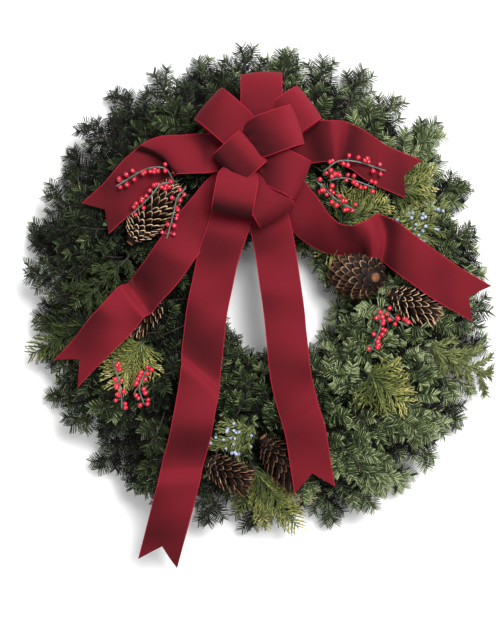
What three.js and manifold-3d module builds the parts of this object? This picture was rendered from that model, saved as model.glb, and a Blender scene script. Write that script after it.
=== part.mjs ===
// A fresh evergreen wreath: fir bundles clamped on a wire ring, with a velvet bow,
// ribbon tails, pine cones, berry picks, cedar and juniper. Millimetres, +Z out of
// its face, +Y to its top. It lies on its back, so the ring's underside is at z = 0.
import * as THREE from 'three';
import Module from 'manifold-3d';

const wasm = await Module();
wasm.setup();

// ---- driving dimensions ----
const RING_RADIUS = 178;          // 14 in clamp ring, to the middle of its wire
const RING_WIRE = 5;              // across the flats of the octagonal section
const RING_FACETS = 36;           // one of them faces straight down at the top
const CLAMP_WIRE = 2.8;
const BUNDLES = 18;
const BUNDLE_PITCH = 360 / BUNDLES;
const STUB_RADIUS = 9;            // the cut stems together, in their clamp
const STUB_SIDES = 8;
const STUB_BACK = 7;              // degrees of stub before and after the bundle's place
const STUB_FRONT = 3;
const CLAMP_BACK = 2;
const SEAT_GAP = 0.35;            // between touching pieces
const NEEDLE_LENGTH = 23;
const TWIG_RADIUS = 2.2;
const RIBBON_WIDTH = 50.8;        // no. 16 ribbon, 2 in
const RIBBON_THICKNESS = 1.2;
const BERRY_RADIUS = 3.6;
const PICK_STEM = 1.1;
const CONE_WIRE = 0.9;

const RING_TOP = RING_WIRE;
const STUB_HEIGHT = RING_TOP + SEAT_GAP + STUB_RADIUS;
const STUB_CORNER = STUB_RADIUS / Math.cos(Math.PI / STUB_SIDES);
const KNOT = new THREE.Vector3(-12, 167, 112);
const KNOT_RADIUS = 7;
const GATHER_RADIUS = 18;         // the loops' gathered folds over the pinch

// How far the outer twigs reach from the ring's middle, one value to a bundle
const OUTER_REACH = [
  282, 292, 308, 312, 318, 314, 320, 309, 308,
  300, 306, 308, 306, 298, 312, 306, 300, 292,
];
// How near the inner twigs come, which leaves the opening
const INNER_REACH = [
  82, 78, 74, 72, 72, 70, 68, 64, 62,
  62, 64, 68, 76, 84, 88, 88, 88, 86,
];

const { degToRad } = THREE.MathUtils;
const UP = new THREE.Vector3(0, 0, 1);
const vec = (x, y, z) => new THREE.Vector3(x, y, z);
const polar = (angle, radius, z) =>
  vec(radius * Math.cos(degToRad(angle)), radius * Math.sin(degToRad(angle)), z);

// A repeatable value from 0 to 1 for piece i, kind k
function chance(i, k) {
  const s = Math.sin(i * 12.9898 + k * 78.233) * 43758.5453;
  return s - Math.floor(s);
}
const around = (i, k, spread) => (chance(i, k) - 0.5) * 2 * spread;

// ---- closed shells ----
class Shell {
  points = [];
  faces = [];

  point(p) {
    this.points.push(p.clone());
    return this.points.length - 1;
  }

  ring(points) {
    return points.map((p) => this.point(p));
  }

  fan(ring, flip) {
    for (let i = 1; i < ring.length - 1; i += 1) {
      this.faces.push(flip ? [ring[0], ring[i + 1], ring[i]] : [ring[0], ring[i], ring[i + 1]]);
    }
  }

  // The triangles that join two rings of as many points
  static between(a, b) {
    return a.flatMap((p, i) => {
      const j = (i + 1) % a.length;
      return [[p, a[j], b[j]], [p, b[j], b[i]]];
    });
  }

  band(a, b) {
    this.faces.push(...Shell.between(a, b));
  }

  // Raises a needle or a scale from a triangle
  spike([a, b, c], apex) {
    const top = this.point(apex);
    this.faces.push([a, b, top], [b, c, top], [c, a, top]);
  }

  // Raises a round berry from a triangle
  bud(face, centre, radius) {
    const [a, b, c] = face.map((i) => this.points[i]);
    const root = a.clone().add(b).add(c).divideScalar(3);
    const out = centre.clone().sub(root).normalize();
    const level = (share, turn) => this.ring(sectionAt(
      centre.clone().addScaledVector(out, share * radius),
      out, a.clone().sub(root), 3, radius * 0.92, turn,
    ));
    const low = level(-0.38, 0);
    const high = level(0.38, -Math.PI / 3);
    this.band(face, low);
    this.band(low, high);
    this.tip(high, centre.clone().addScaledVector(out, radius));
  }

  tip(ring, apex) {
    const top = this.point(apex);
    ring.forEach((p, i) => this.faces.push([p, ring[(i + 1) % ring.length], top]));
  }

  solid() {
    const volume = this.faces.reduce((sum, [a, b, c]) => {
      const cross = this.points[b].clone().cross(this.points[c]);
      return sum + this.points[a].dot(cross);
    }, 0);
    const outward = volume > 0 ? this.faces : this.faces.map(([a, b, c]) => [a, c, b]);
    return new wasm.Manifold(new wasm.Mesh({
      numProp: 3,
      vertProperties: new Float32Array(this.points.flatMap((p) => p.toArray())),
      triVerts: new Uint32Array(outward.flat()),
    }));
  }
}

const fuse = (solids) => solids.reduce((whole, next) => whole.add(next));

function geometryOf(solid) {
  const { vertProperties, triVerts } = solid.getMesh();
  const geometry = new THREE.BufferGeometry();
  geometry.setAttribute('position', new THREE.BufferAttribute(vertProperties, 3));
  geometry.setIndex(new THREE.BufferAttribute(triVerts, 1));
  geometry.computeVertexNormals();
  return geometry;
}

function sectionAt(centre, tangent, side, sides, radius, turn = 0) {
  const across = side.clone().addScaledVector(tangent, -side.dot(tangent)).normalize();
  const other = tangent.clone().cross(across);
  return Array.from({ length: sides }, (_, i) => {
    const angle = turn + (2 * Math.PI * i) / sides;
    return centre.clone()
      .addScaledVector(across, radius * Math.cos(angle))
      .addScaledVector(other, radius * Math.sin(angle));
  });
}

const middleOf = (points) =>
  points.reduce((sum, p) => sum.add(p), vec(0, 0, 0)).divideScalar(points.length);

function normalOf([a, b, c]) {
  return b.clone().sub(a).cross(c.clone().sub(a)).normalize();
}

// A three-sided stem that grows along a curve, from a triangle of the shell or from a
// cut end. Its stations are fractions of the length. `dress` takes the triangles after
// each station, and may raise needles, berries or side twigs from them.
function grow(shell, root, { curve, stations, radius, dress }) {
  const start = curve.getTangentAt(0);
  const side = root ? shell.points[root[0]].clone().sub(curve.getPointAt(0)) : UP;
  const sectionFor = (t, k) => {
    const tangent = curve.getTangentAt(t);
    const along = side.clone().applyQuaternion(
      new THREE.Quaternion().setFromUnitVectors(start, tangent),
    );
    return shell.ring(sectionAt(curve.getPointAt(t), tangent, along, 3, radius(t), (-k * Math.PI) / 3));
  };
  let last = root;
  if (!root) {
    last = sectionFor(0, 0);
    shell.fan(last, true);
  }
  for (let k = 1; k < stations.length - 1; k += 1) {
    const ring = sectionFor(stations[k], k);
    const faces = Shell.between(last, ring);
    if (dress) {
      dress(faces, k - 1, curve.getTangentAt(stations[k]));
    } else {
      shell.faces.push(...faces);
    }
    last = ring;
  }
  shell.tip(last, curve.getPointAt(1));
}

// A bent rod or wire that passes through each of its points
function rod(points, radius, sides, side = UP, turn = 0) {
  const shell = new Shell();
  const last = points.length - 1;
  const rings = points.map((p, k) => {
    const tangent = points[Math.min(k + 1, last)].clone().sub(points[Math.max(k - 1, 0)]).normalize();
    return shell.ring(sectionAt(p, tangent, side, sides, radius, turn));
  });
  rings.slice(1).forEach((ring, k) => shell.band(rings[k], ring));
  shell.fan(rings[0], true);
  shell.fan(rings[last], false);
  return shell.solid();
}

const smooth = (points, steps) => new THREE.CatmullRomCurve3(points).getSpacedPoints(steps);

// ---- room between the pieces ----
// Every piece that is in place is known by a row of thick segments.
class Room {
  taken = [];

  take(owner, a, b, radius) {
    const middle = a.clone().add(b).multiplyScalar(0.5);
    this.taken.push({ owner, a, b, radius, middle, reach: a.distanceTo(b) / 2 + radius });
  }

  takeLine(owner, points, radius) {
    points.slice(1).forEach((p, i) => this.take(owner, points[i], p, radius));
  }

  free(owner, a, b, radius, gap = 0.5) {
    const middle = a.clone().add(b).multiplyScalar(0.5);
    const reach = a.distanceTo(b) / 2 + radius + gap;
    return this.taken.every((item) => item.owner.startsWith(owner)
      || item.middle.distanceTo(middle) > item.reach + reach
      || segmentDistance(a, b, item.a, item.b) > item.radius + radius + gap);
  }
}

function segmentDistance(p1, q1, p2, q2) {
  const d1 = q1.clone().sub(p1);
  const d2 = q2.clone().sub(p2);
  const r = p1.clone().sub(p2);
  const a = Math.max(d1.lengthSq(), 1e-9);
  const e = Math.max(d2.lengthSq(), 1e-9);
  const b = d1.dot(d2);
  const c = d1.dot(r);
  const f = d2.dot(r);
  const denominator = a * e - b * b;
  const clamp = (x) => Math.min(1, Math.max(0, x));
  let s = denominator > 1e-9 ? clamp((b * f - c * e) / denominator) : 0;
  let t = (b * s + f) / e;
  if (t < 0 || t > 1) {
    t = clamp(t);
    s = clamp((b * t - c) / a);
  }
  return p1.clone().addScaledVector(d1, s).distanceTo(p2.clone().addScaledVector(d2, t));
}

const room = new Room();
const wreath = new THREE.Group();

const finishes = {
  wire: { color: 0x39443a, roughness: 0.45, metalness: 0.7 },
  fir: { color: 0x36482f, roughness: 0.75, metalness: 0 },
  cedar: { color: 0x7d8a3c, roughness: 0.7, metalness: 0 },
  juniper: { color: 0x66735a, roughness: 0.7, metalness: 0 },
  cone: { color: 0x5b3b28, roughness: 0.8, metalness: 0 },
  berry: { color: 0xb01227, roughness: 0.25, metalness: 0 },
  velvet: { color: 0x87222c, roughness: 0.95, metalness: 0 },
};

function place(name, solid, finish) {
  const mesh = new THREE.Mesh(geometryOf(solid), new THREE.MeshStandardMaterial(finishes[finish]));
  mesh.name = name;
  wreath.add(mesh);
}

// ---- ring and clamps ----
const numbered = (name, i) => `${name}_${String(i + 1).padStart(2, '0')}`;
const bundleAngle = (i) => i * BUNDLE_PITCH;   // none at 90: the hook's place stays free

function ringSolid() {
  const shell = new Shell();
  const half = RING_WIRE / 2 / Math.cos(Math.PI / 8);
  const corner = RING_RADIUS / Math.cos(Math.PI / RING_FACETS);
  const rings = Array.from({ length: RING_FACETS }, (_, k) => {
    const angle = ((k + 0.5) * 360) / RING_FACETS;
    const section = Array.from({ length: 8 }, (_, i) => {
      const turn = (i + 0.5) * (Math.PI / 4);
      return polar(angle, corner + half * Math.cos(turn), RING_WIRE / 2 + half * Math.sin(turn));
    });
    return shell.ring(section);
  });
  rings.forEach((ring, k) => shell.band(ring, rings[(k + 1) % rings.length]));
  return shell.solid();
}

// One clamp: a wire across the ring, bent up round the stems and closed over them
function clampPath(angle) {
  const inside = STUB_RADIUS + SEAT_GAP + CLAMP_WIRE * 0.75;
  const low = RING_WIRE / 2;
  const high = STUB_HEIGHT + inside;
  const outline = [
    [1.6, high], [inside, STUB_HEIGHT + inside * 0.6], [inside, STUB_HEIGHT - inside * 0.5],
    [inside * 0.6, low], [-inside * 0.6, low], [-inside, STUB_HEIGHT - inside * 0.5],
    [-inside, STUB_HEIGHT + inside * 0.6], [-1.6, high],
  ];
  return outline.map(([across, z]) => polar(angle, RING_RADIUS + across, z));
}

function buildRing() {
  const clamps = [];
  for (let i = 0; i < BUNDLES; i += 1) {
    const angle = bundleAngle(i) - CLAMP_BACK;
    const path = clampPath(angle);
    clamps.push(rod(path, CLAMP_WIRE / 2, 4, polar(angle + 90, 1, 0), Math.PI / 4));
    room.takeLine('ring', path, CLAMP_WIRE / 2);
  }
  for (let k = 0; k < RING_FACETS; k += 1) {
    const [from, to] = [k - 0.5, k + 0.5].map((s) => (s * 360) / RING_FACETS);
    const middle = RING_WIRE / 2;
    room.take('ring', polar(from, RING_RADIUS, middle), polar(to, RING_RADIUS, middle), middle);
  }
  place('clamp_ring', fuse([ringSolid(), ...clamps]), 'wire');
}

// ---- ribbon ----
// A strip along a curve, with its own width and its cross direction at each station
function strip(curve, steps, widthAt, acrossAt, notch) {
  const shell = new Shell();
  const half = RIBBON_THICKNESS / 2;
  const sections = Array.from({ length: steps + 1 }, (_, k) => {
    const t = k / steps;
    const centre = curve.getPointAt(t);
    const tangent = curve.getTangentAt(t);
    const across = acrossAt(t, tangent).clone();
    across.addScaledVector(tangent, -across.dot(tangent)).normalize();
    const normal = across.clone().cross(tangent);
    const corner = (u, v) => centre.clone()
      .addScaledVector(across, (u * widthAt(t)) / 2)
      .addScaledVector(normal, v * half);
    return { centre, tangent, across, normal, corner, width: widthAt(t) };
  });
  const rings = sections.map(({ corner }) =>
    shell.ring([corner(-1, -1), corner(1, -1), corner(1, 1), corner(-1, 1)]));
  rings.slice(1).forEach((ring, k) => shell.band(rings[k], ring));
  shell.fan(rings[0], true);
  const end = rings[steps];
  if (!notch) {
    shell.fan(end, false);
    return { solid: shell.solid(), sections };
  }
  // Swallowtail: two points beyond the end with a notch between them
  const { centre, tangent, across, normal, width } = sections[steps];
  const beyond = (u, v, length) => shell.point(centre.clone()
    .addScaledVector(across, (u * width) / 2)
    .addScaledVector(tangent, length)
    .addScaledVector(normal, v * half));
  const [leftLow, rightLow, rightHigh, leftHigh] = end;
  const low = { left: beyond(-1, -1, notch[0]), middle: beyond(0, -1, 4), right: beyond(1, -1, notch[1]) };
  const high = { left: beyond(-1, 1, notch[0]), middle: beyond(0, 1, 4), right: beyond(1, 1, notch[1]) };
  shell.faces.push(
    [leftLow, rightLow, low.middle], [leftLow, low.middle, low.left],
    [rightLow, low.right, low.middle], [rightHigh, leftHigh, high.middle],
    [leftHigh, high.left, high.middle], [rightHigh, high.middle, high.right],
    [leftHigh, leftLow, low.left], [leftHigh, low.left, high.left],
    [low.left, low.middle, high.middle], [low.left, high.middle, high.left],
    [low.middle, low.right, high.right], [low.middle, high.right, high.middle],
    [low.right, rightLow, rightHigh], [low.right, rightHigh, high.right],
  );
  return { solid: shell.solid(), sections };
}

// Ribbon takes up room as rows of small balls across its width
function takeRibbon(owner, curve, widthAt, acrossAt, beyond) {
  const length = curve.getLength();
  const steps = Math.ceil(length / 5);
  for (let k = 0; k <= steps; k += 1) {
    const t = k / steps;
    const tangent = curve.getTangentAt(t);
    const across = acrossAt(t, tangent).clone();
    across.addScaledVector(tangent, -across.dot(tangent)).normalize();
    const centre = curve.getPointAt(t);
    const reach = widthAt(t) / 2;
    const from = centre.clone().addScaledVector(across, -reach);
    const to = centre.clone().addScaledVector(across, reach);
    room.take(owner, from, to, 2.6);
    if (k === steps && beyond) {
      for (let s = 5; s <= beyond; s += 5) {
        const ahead = tangent.clone().multiplyScalar(s);
        room.take(owner, from.clone().add(ahead), to.clone().add(ahead), 2.6);
      }
    }
  }
}

// The middle lines of the tails from the knot outwards, with how they lie, and how
// far the two points of the swallowtail stand beyond the notch
const TAILS = {
  tail_upper_left: {
    line: [[-20, 166, 117], [-40, 170, 117], [-73, 171, 117], [-98, 169, 119], [-122, 167, 112],
      [-140, 160, 107], [-158, 145, 108], [-180, 119, 108], [-195, 105.5, 106]],
    notch: [21, 21],
  },
  tail_lower_left: {
    line: [[-17.4, 161.6, 110], [-32, 146, 109], [-52, 124, 109], [-71, 100, 109], [-93, 74, 108.5],
      [-127, 26, 112], [-158, -4, 109], [-179, -28, 107], [-206, -58, 108], [-227, -80, 106]],
    notch: [29, 29],
  },
  tail_long_left: {
    line: [[-14.6, 159.8, 112], [-23, 140, 112], [-34.5, 115, 112], [-44.5, 81, 112],
      [-56.5, 46, 112.8], [-64.5, 10, 108], [-71.5, -24, 102.5], [-75.5, -60, 106], [-78, -93, 110],
      [-82, -125, 110], [-93, -182, 109], [-108, -243, 106], [-121, -292, 92], [-127.5, -316, 80]],
    notch: [31.5, 31.5],
  },
  tail_long_right: {
    line: [[-9, 159, 117], [-4, 136, 117], [0, 109, 116], [8, 78, 116], [14, 46, 114],
      [24, -24, 113], [27, -55, 113], [33, -106, 114], [41, -141, 114], [50, -170, 112],
      [58.5, -221, 109]],
    notch: [25, 25],
  },
  tail_right: {
    line: [[-6.5, 161.8, 110], [8, 148, 109], [26, 128, 109], [41, 108, 109], [66, 79, 109],
      [87, 67, 110], [107, 66, 112], [127, 69, 114], [149, 66, 112], [172, 50, 108],
      [198, 31, 107], [229, 9.5, 105], [251, -3, 102]],
    notch: [23, 23],
  },
  tail_upper_right: {
    line: [[-4, 168, 117], [20, 178, 114], [50, 184, 112], [76, 187, 115], [97, 186, 114],
      [117, 176, 108], [139, 160, 107], [169.5, 147, 106]],
    notch: [17, 17],
  },
};
const NECK_WIDTH = 13;            // the ribbon gathered at the knot

function buildTails() {
  Object.entries(TAILS).forEach(([name, { line, notch }]) => {
    const curve = new THREE.CatmullRomCurve3(line.map((p) => vec(...p)));
    const length = curve.getLength();
    const open = Math.min(0.5, (60 / length));
    const widthAt = (t) => NECK_WIDTH
      + (RIBBON_WIDTH - NECK_WIDTH) * Math.min(1, Math.sin(Math.min(1, t / open) * Math.PI / 2));
    const acrossAt = (t, tangent) => tangent.clone().cross(UP);
    const { solid } = strip(curve, Math.round(length / 24), widthAt, acrossAt, notch);
    takeRibbon(name, curve, widthAt, acrossAt, Math.max(...notch));
    place(name, solid, 'velvet');
  });
}

// The loops: where each leaves the pinch, its direction in degrees, length, height and
// lean out of the face. The last one is a small closed loop over the middle.
const LOOPS = [
  { base: [-4, 170, 118], turn: 90, length: 98, height: 32, lean: 4 },
  { base: [-14, 184, 118], turn: 35, length: 86, height: 32, lean: 4 },
  { base: [-6, 175, 120], turn: 139, length: 86, height: 34, lean: 8 },
  { base: [-24, 158, 118], turn: 301, length: 80, height: 32, lean: 8 },
  { base: [-12, 164, 121], turn: -26, length: 69, height: 32, lean: 12 },
  { base: [-28, 164, 124], turn: 260, length: 73, height: 32, lean: 12 },
  { base: [-36, 177, 128], turn: 19, length: 84, height: 32, lean: 12 },
  { base: [-13, 178, 138], turn: 222, length: 42, height: 26, lean: -8, closed: true },
];
// A loop from the side, as shares of its length and height
const OPEN_OUTLINE = [
  [0.1, 0], [0.3, -0.1], [0.62, -0.12], [0.9, 0.04], [1, 0.42],
  [0.9, 0.86], [0.6, 1], [0.3, 0.76], [0.1, 0.4],
];
const CLOSED_OUTLINE = [
  [0.3, 0], [0.6, -0.1], [0.92, 0], [1.04, 0.4], [0.94, 0.82],
  [0.6, 1], [0.22, 1.02], [-0.02, 0.8], [0, 0.3], [0.2, 0.05],
];
const LOOP_OPENS = 0.26;          // of its run, over which a loop opens to full width

function loopCurve({ base, turn, length, height, lean, closed }) {
  const outward = polar(turn, 1, 0);
  const tilt = degToRad(lean);
  return new THREE.CatmullRomCurve3((closed ? CLOSED_OUTLINE : OPEN_OUTLINE).map(([u, v]) => {
    const along = u * length;
    const above = v * height;
    return vec(...base)
      .addScaledVector(outward, along * Math.cos(tilt) - above * Math.sin(tilt))
      .addScaledVector(UP, along * Math.sin(tilt) + above * Math.cos(tilt));
  }));
}

function buildBow() {
  const loops = LOOPS.map((loop) => {
    const curve = loopCurve(loop);
    const across = polar(loop.turn + 90, 1, 0);
    const widthAt = (t) => {
      const away = loop.closed ? 1 : Math.min(1, Math.min(t, 1 - t) / LOOP_OPENS);
      return NECK_WIDTH + (RIBBON_WIDTH - NECK_WIDTH) * Math.sin(away * Math.PI / 2);
    };
    takeRibbon('bow_loops', curve, widthAt, () => across, 0);
    return strip(curve, 8, widthAt, () => across, null).solid;
  });
  const sides = 8;
  const shell = new Shell();
  const profile = [
    [KNOT_RADIUS, -14], [KNOT_RADIUS, 5.5], [GATHER_RADIUS, 9], [GATHER_RADIUS, 26], [9, 33],
  ];
  const rings = profile.map(([radius, above]) => shell.ring(
    sectionAt(vec(KNOT.x, KNOT.y, KNOT.z + above), UP, vec(1, 0, 0), sides, radius),
  ));
  shell.fan(rings[0], true);
  rings.slice(1).forEach((ring, k) => shell.band(rings[k], ring));
  shell.fan(rings[rings.length - 1], false);
  const pinch = shell.solid();
  const at = (above) => vec(KNOT.x, KNOT.y, KNOT.z + above);
  room.take('bow_loops', at(-14), at(6), KNOT_RADIUS);
  room.take('bow_loops', at(20), at(24), GATHER_RADIUS);
  place('bow_loops', fuse([pinch, ...loops]), 'velvet');
}

// The bow's wire: one turn round the pinch, and two legs that straddle the ring's wire
const TIE_HEIGHT = KNOT.z - 10;
const TIE_ANGLE = 109;

function closedLoop(centre, axis, side, radius, wire, steps) {
  const shell = new Shell();
  const other = axis.clone().cross(side);
  const rings = Array.from({ length: steps }, (_, k) => {
    const turn = ((k + 0.5) * 2 * Math.PI) / steps;
    const out = side.clone().multiplyScalar(Math.cos(turn)).addScaledVector(other, Math.sin(turn));
    const reach = (radius + wire) / Math.cos(Math.PI / steps);
    const middle = centre.clone().addScaledVector(out, reach);
    return shell.ring([0, 1, 2].map((i) => {
      const angle = Math.PI + (i * 2 * Math.PI) / 3;
      return middle.clone()
        .addScaledVector(out, wire * Math.cos(angle))
        .addScaledVector(axis, wire * Math.sin(angle));
    }));
  });
  rings.forEach((ring, k) => shell.band(ring, rings[(k + 1) % steps]));
  return shell.solid();
}

function buildBowWire() {
  const centre = vec(KNOT.x, KNOT.y, TIE_HEIGHT);
  const turn = closedLoop(centre, UP, vec(1, 0, 0), KNOT_RADIUS + SEAT_GAP, 1, 8);
  const legs = [-1, 1].map((side) => {
    const beside = RING_RADIUS + side * (RING_WIRE / 2 + SEAT_GAP + 1.1);
    const reach = KNOT_RADIUS + SEAT_GAP + 1.6;
    const points = [
      centre.clone().addScaledVector(polar(180 + side * 30, 1, 0), reach),
      polar(101, 178 + side * 5, 78),
      polar(TIE_ANGLE, beside + side * 0.6, 40),
      polar(TIE_ANGLE, beside, 1.2),
    ];
    const bent = smooth(points, 5);
    room.takeLine('bow_wire', bent, 1);
    return rod(bent, 1, 4);
  });
  place('bow_wire', fuse([turn, ...legs]), 'wire');
}

// ---- pine cones ----
// Where the base and the tip of each cone lie, and its radius over the scales
const CONES = [
  { base: [-168, 62, 88], tip: [-118, 136, 94], radius: 29, seat: 8 },
  { base: [-128, -4, 84], tip: [-168, -46, 84], radius: 23, seat: 10 },
  { base: [137, 18, 120], tip: [103, 28, 62], radius: 35, seat: 1 },
  { base: [156, 0, 91], tip: [214, -27, 88], radius: 24, seat: 0 },
  { base: [-76, -210, 84], tip: [-24, -238, 88], radius: 24, seat: 13 },
  { base: [-2, -182, 82], tip: [40, -236, 84], radius: 27, seat: 14 },
];
const CONE_ROWS = 7;
const CONE_COLUMNS = 8;
const WIRED_ROW = 1;              // the bare band between scales that the wire sits in
const CONE_CORE = 0.5;            // the core's share of the cone's radius
const coneCore = (t) => CONE_CORE * Math.sin(Math.PI * (0.2 + 0.76 * t)) ** 0.8;

function coneFrame({ base, tip, radius }) {
  const from = vec(...base);
  const axis = vec(...tip).sub(from);
  const length = axis.length();
  axis.normalize();
  const side = vec(-axis.y, axis.x, 0).normalize();
  return { from, axis, length, side, radius };
}

// A point on the top of the stub of bundle i, where a pick or a wire ends
function seatOn(bundle, share) {
  const angle = bundleAngle(bundle) - STUB_BACK + 1.2 + share * 1.3;
  const across = share % 2 ? 1.9 : -1.9;
  return polar(angle, RING_RADIUS + across, STUB_HEIGHT + STUB_RADIUS + SEAT_GAP);
}

const seatsTaken = Array(BUNDLES).fill(0);
function nextSeat(bundle) {
  const seat = seatOn(bundle, seatsTaken[bundle]);
  seatsTaken[bundle] += 1;
  return seat;
}

function buildCone(cone, index) {
  const { from, axis, length, side, radius } = coneFrame(cone);
  const name = numbered('pine_cone', index);
  const wireName = numbered('cone_wire', index);
  const station = (k) => k / CONE_ROWS;
  const centreAt = (t) => from.clone().addScaledVector(axis, t * length);

  // The wire's loop in the bare band, and its leg down to the stems
  const wiredAt = station(WIRED_ROW + 0.5);
  const [lower, upper] = [WIRED_ROW, WIRED_ROW + 1].map((k) => coneCore(station(k)));
  const loopRadius = (radius * (lower + upper)) / 2 * Math.cos(Math.PI / CONE_COLUMNS / 2);
  const centre = centreAt(wiredAt);
  const down = UP.clone().negate().addScaledVector(axis, axis.z).normalize();
  const loop = closedLoop(centre, axis, side, loopRadius + 0.45, CONE_WIRE, 8);
  const start = centre.clone().addScaledVector(down, loopRadius + 0.4 + 1.2);
  const clearOfScales = centre.clone().addScaledVector(down, radius + 6);
  const seat = nextSeat(cone.seat);
  const above = seat.clone().setZ(seat.z + 14);
  const leg = [start, clearOfScales, above, seat];
  room.takeLine(wireName, leg, CONE_WIRE + 0.2);
  place(wireName, fuse([loop, rod(leg, CONE_WIRE, 3, side)]), 'wire');

  // The core with a scale raised from each facet, except in the wire's band
  const shell = new Shell();
  const rings = Array.from({ length: CONE_ROWS }, (_, k) => shell.ring(sectionAt(
    centreAt(station(k)), axis, side, CONE_COLUMNS, radius * coneCore(station(k)),
    (-k * Math.PI) / CONE_COLUMNS,
  )));
  const scaleOver = (face, t) => {
    const foot = middleOf(face.map((i) => shell.points[i]));
    const onAxis = centreAt(foot.clone().sub(from).dot(axis) / length);
    const out = foot.clone().sub(onAxis).normalize();
    const reach = radius * (1 - CONE_CORE) * (1.12 - 0.75 * t * t);
    const apex = foot.clone().addScaledVector(out, reach).addScaledVector(axis, reach * (0.2 + t));
    if (room.free(name, foot.clone().addScaledVector(out, 1.5), apex, 1.6, 0.5)) {
      shell.spike(face, apex);
    } else {
      shell.faces.push(face);
    }
  };
  shell.fan(rings[0], true);
  rings.slice(1).forEach((ring, k) => {
    if (k === WIRED_ROW) {
      shell.band(rings[k], ring);
    } else {
      Shell.between(rings[k], ring).forEach((face) => scaleOver(face, station(k)));
    }
  });
  shell.tip(rings[CONE_ROWS - 1], centreAt(1));
  room.take(name, centreAt(0.12), centreAt(0.6), radius + 1);
  room.take(name, centreAt(0.6), centreAt(0.95), radius * 0.7);
  place(name, shell.solid(), 'cone');
}

// ---- berry picks ----
// Each pick's stem where it lies on the foliage, the bundle it is stuck in and how
// many berries it carries
const PICKS = [
  { seat: 6, berries: 9, line: [[-112, 138, 115], [-122, 152, 124], [-142, 153, 122], [-184, 131, 114]] },
  { seat: 7, berries: 7, line: [[-114, 135, 119], [-128, 133, 121], [-139, 120, 122], [-163, 97, 119]] },
  { seat: 7, berries: 7, line: [[-98, 128, 118], [-108, 116, 120], [-112, 98, 120], [-121, 66, 117]] },
  { seat: 4, berries: 7, line: [[74, 150, 121], [90, 161, 125], [112, 161, 123], [150, 150, 117]] },
  { seat: 3, berries: 9, line: [[64, 138, 119], [78, 124, 119], [92, 112, 119], [114, 101, 115]] },
  { seat: 3, berries: 7, line: [[80, 138, 120], [98, 141, 120], [117, 136, 119], [136, 129, 116]] },
  { seat: 17, berries: 9, line: [[140, -24, 106], [144, -40, 112], [138, -58, 112], [133, -72, 108]] },
  { seat: 17, berries: 5, line: [[152, -24, 104], [162, -34, 110], [178, -42, 106]] },
  { seat: 11, berries: 8, line: [[-142, -92, 106], [-150, -104, 112], [-155, -120, 112], [-149, -140, 107]] },
  { seat: 10, berries: 7, line: [[-188, -88, 104], [-182, -104, 112], [-178, -122, 111], [-177, -144, 106]] },
];
const BUD_BAND = 2.4;             // the length of stem that a berry grows from

// A stem that rises from its bundle to where it lies on top
function risingLine(seat, line) {
  const foot = nextSeat(seat);
  const first = vec(...line[0]);
  return [
    foot, foot.clone().setZ(foot.z + 16), foot.clone().lerp(first, 0.7).setZ(first.z * 0.72),
    ...line.map((p) => vec(...p)),
  ];
}

// The bare stretch of a curve ends where its own line starts
function shareOf(curve, point) {
  const steps = 200;
  const points = curve.getSpacedPoints(steps);
  const near = points.map((p) => p.distanceTo(point));
  return near.indexOf(Math.min(...near)) / steps;
}

const bareStations = (bare) => [0, 0.2, 0.45, 0.75].map((share) => share * bare);

// Raises a berry from the triangle of a band that faces its side best
function berryOn(shell, name, faces, out, size) {
  const facing = (face) => normalOf(face.map((i) => shell.points[i])).dot(out);
  const best = faces.reduce((a, b) => (facing(a) > facing(b) ? a : b));
  const centre = middleOf(best.map((i) => shell.points[i])).addScaledVector(out, size * 1.5);
  const fits = room.free(name, centre, centre, size, 0.5);
  shell.faces.push(...faces.filter((face) => face !== best || !fits));
  if (fits) {
    shell.bud(best, centre, size);
    room.take(`${name} berry`, centre, centre, size);
  }
}

function buildPick({ seat, berries, line }, index) {
  const name = numbered('berry_pick', index);
  const curve = new THREE.CatmullRomCurve3(risingLine(seat, line));
  const bare = shareOf(curve, vec(...line[0]));
  const pitch = (0.98 - bare) / berries;
  const half = BUD_BAND / 2 / curve.getLength();
  const stations = bareStations(bare);
  const first = stations.length;
  for (let k = 0; k < berries; k += 1) {
    const t = bare + (k + 0.6) * pitch;
    stations.push(t - half, t + half);
  }
  stations.push(1);
  room.takeLine(name, curve.getSpacedPoints(24), PICK_STEM + 0.2);
  const shell = new Shell();
  grow(shell, null, {
    curve,
    stations,
    radius: () => PICK_STEM,
    dress: (faces, k, tangent) => {
      const berry = k - first;
      if (berry < 0 || berry % 2) {
        shell.faces.push(...faces);
        return;
      }
      const side = (berry / 2) % 2 ? 1 : -1;
      const out = tangent.clone().cross(UP).normalize().multiplyScalar(side)
        .addScaledVector(UP, 0.3 + chance(berry, index)).normalize();
      berryOn(shell, name, faces, out, BERRY_RADIUS);
    },
  });
  place(name, shell.solid(), 'berry');
}

// ---- greenery ----
// Raises needles from the triangles of a band, each where it finds room
function needles(shell, { owner, length, lean, only = () => true }) {
  return (faces, tangent) => faces.forEach((face) => {
    const corners = face.map((i) => shell.points[i]);
    const root = middleOf(corners);
    const out = normalOf(corners);
    const angle = degToRad(lean);
    const apex = root.clone()
      .addScaledVector(out, length * Math.sin(angle))
      .addScaledVector(tangent, length * Math.cos(angle));
    const start = root.clone().lerp(apex, 0.12);
    if (only(out) && apex.z > 0.6 && room.free(owner, start, apex, 1.2, 0.5)) {
      room.take(owner, start, apex, 1.2);
      shell.spike(face, apex);
    } else {
      shell.faces.push(face);
    }
  });
}

// Bare stations first, then whorls of needles out to the tip
function whorledStations(bareOnes, whorls, share = 0.3) {
  const bare = bareOnes[bareOnes.length - 1];
  const pitch = (0.98 - bare) / whorls;
  const stations = [...bareOnes];
  for (let k = 0; k < whorls; k += 1) {
    stations.push(bare + (k + 0.5 - share / 2) * pitch, bare + (k + 0.5 + share / 2) * pitch);
  }
  stations.push(1);
  return stations;
}

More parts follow.
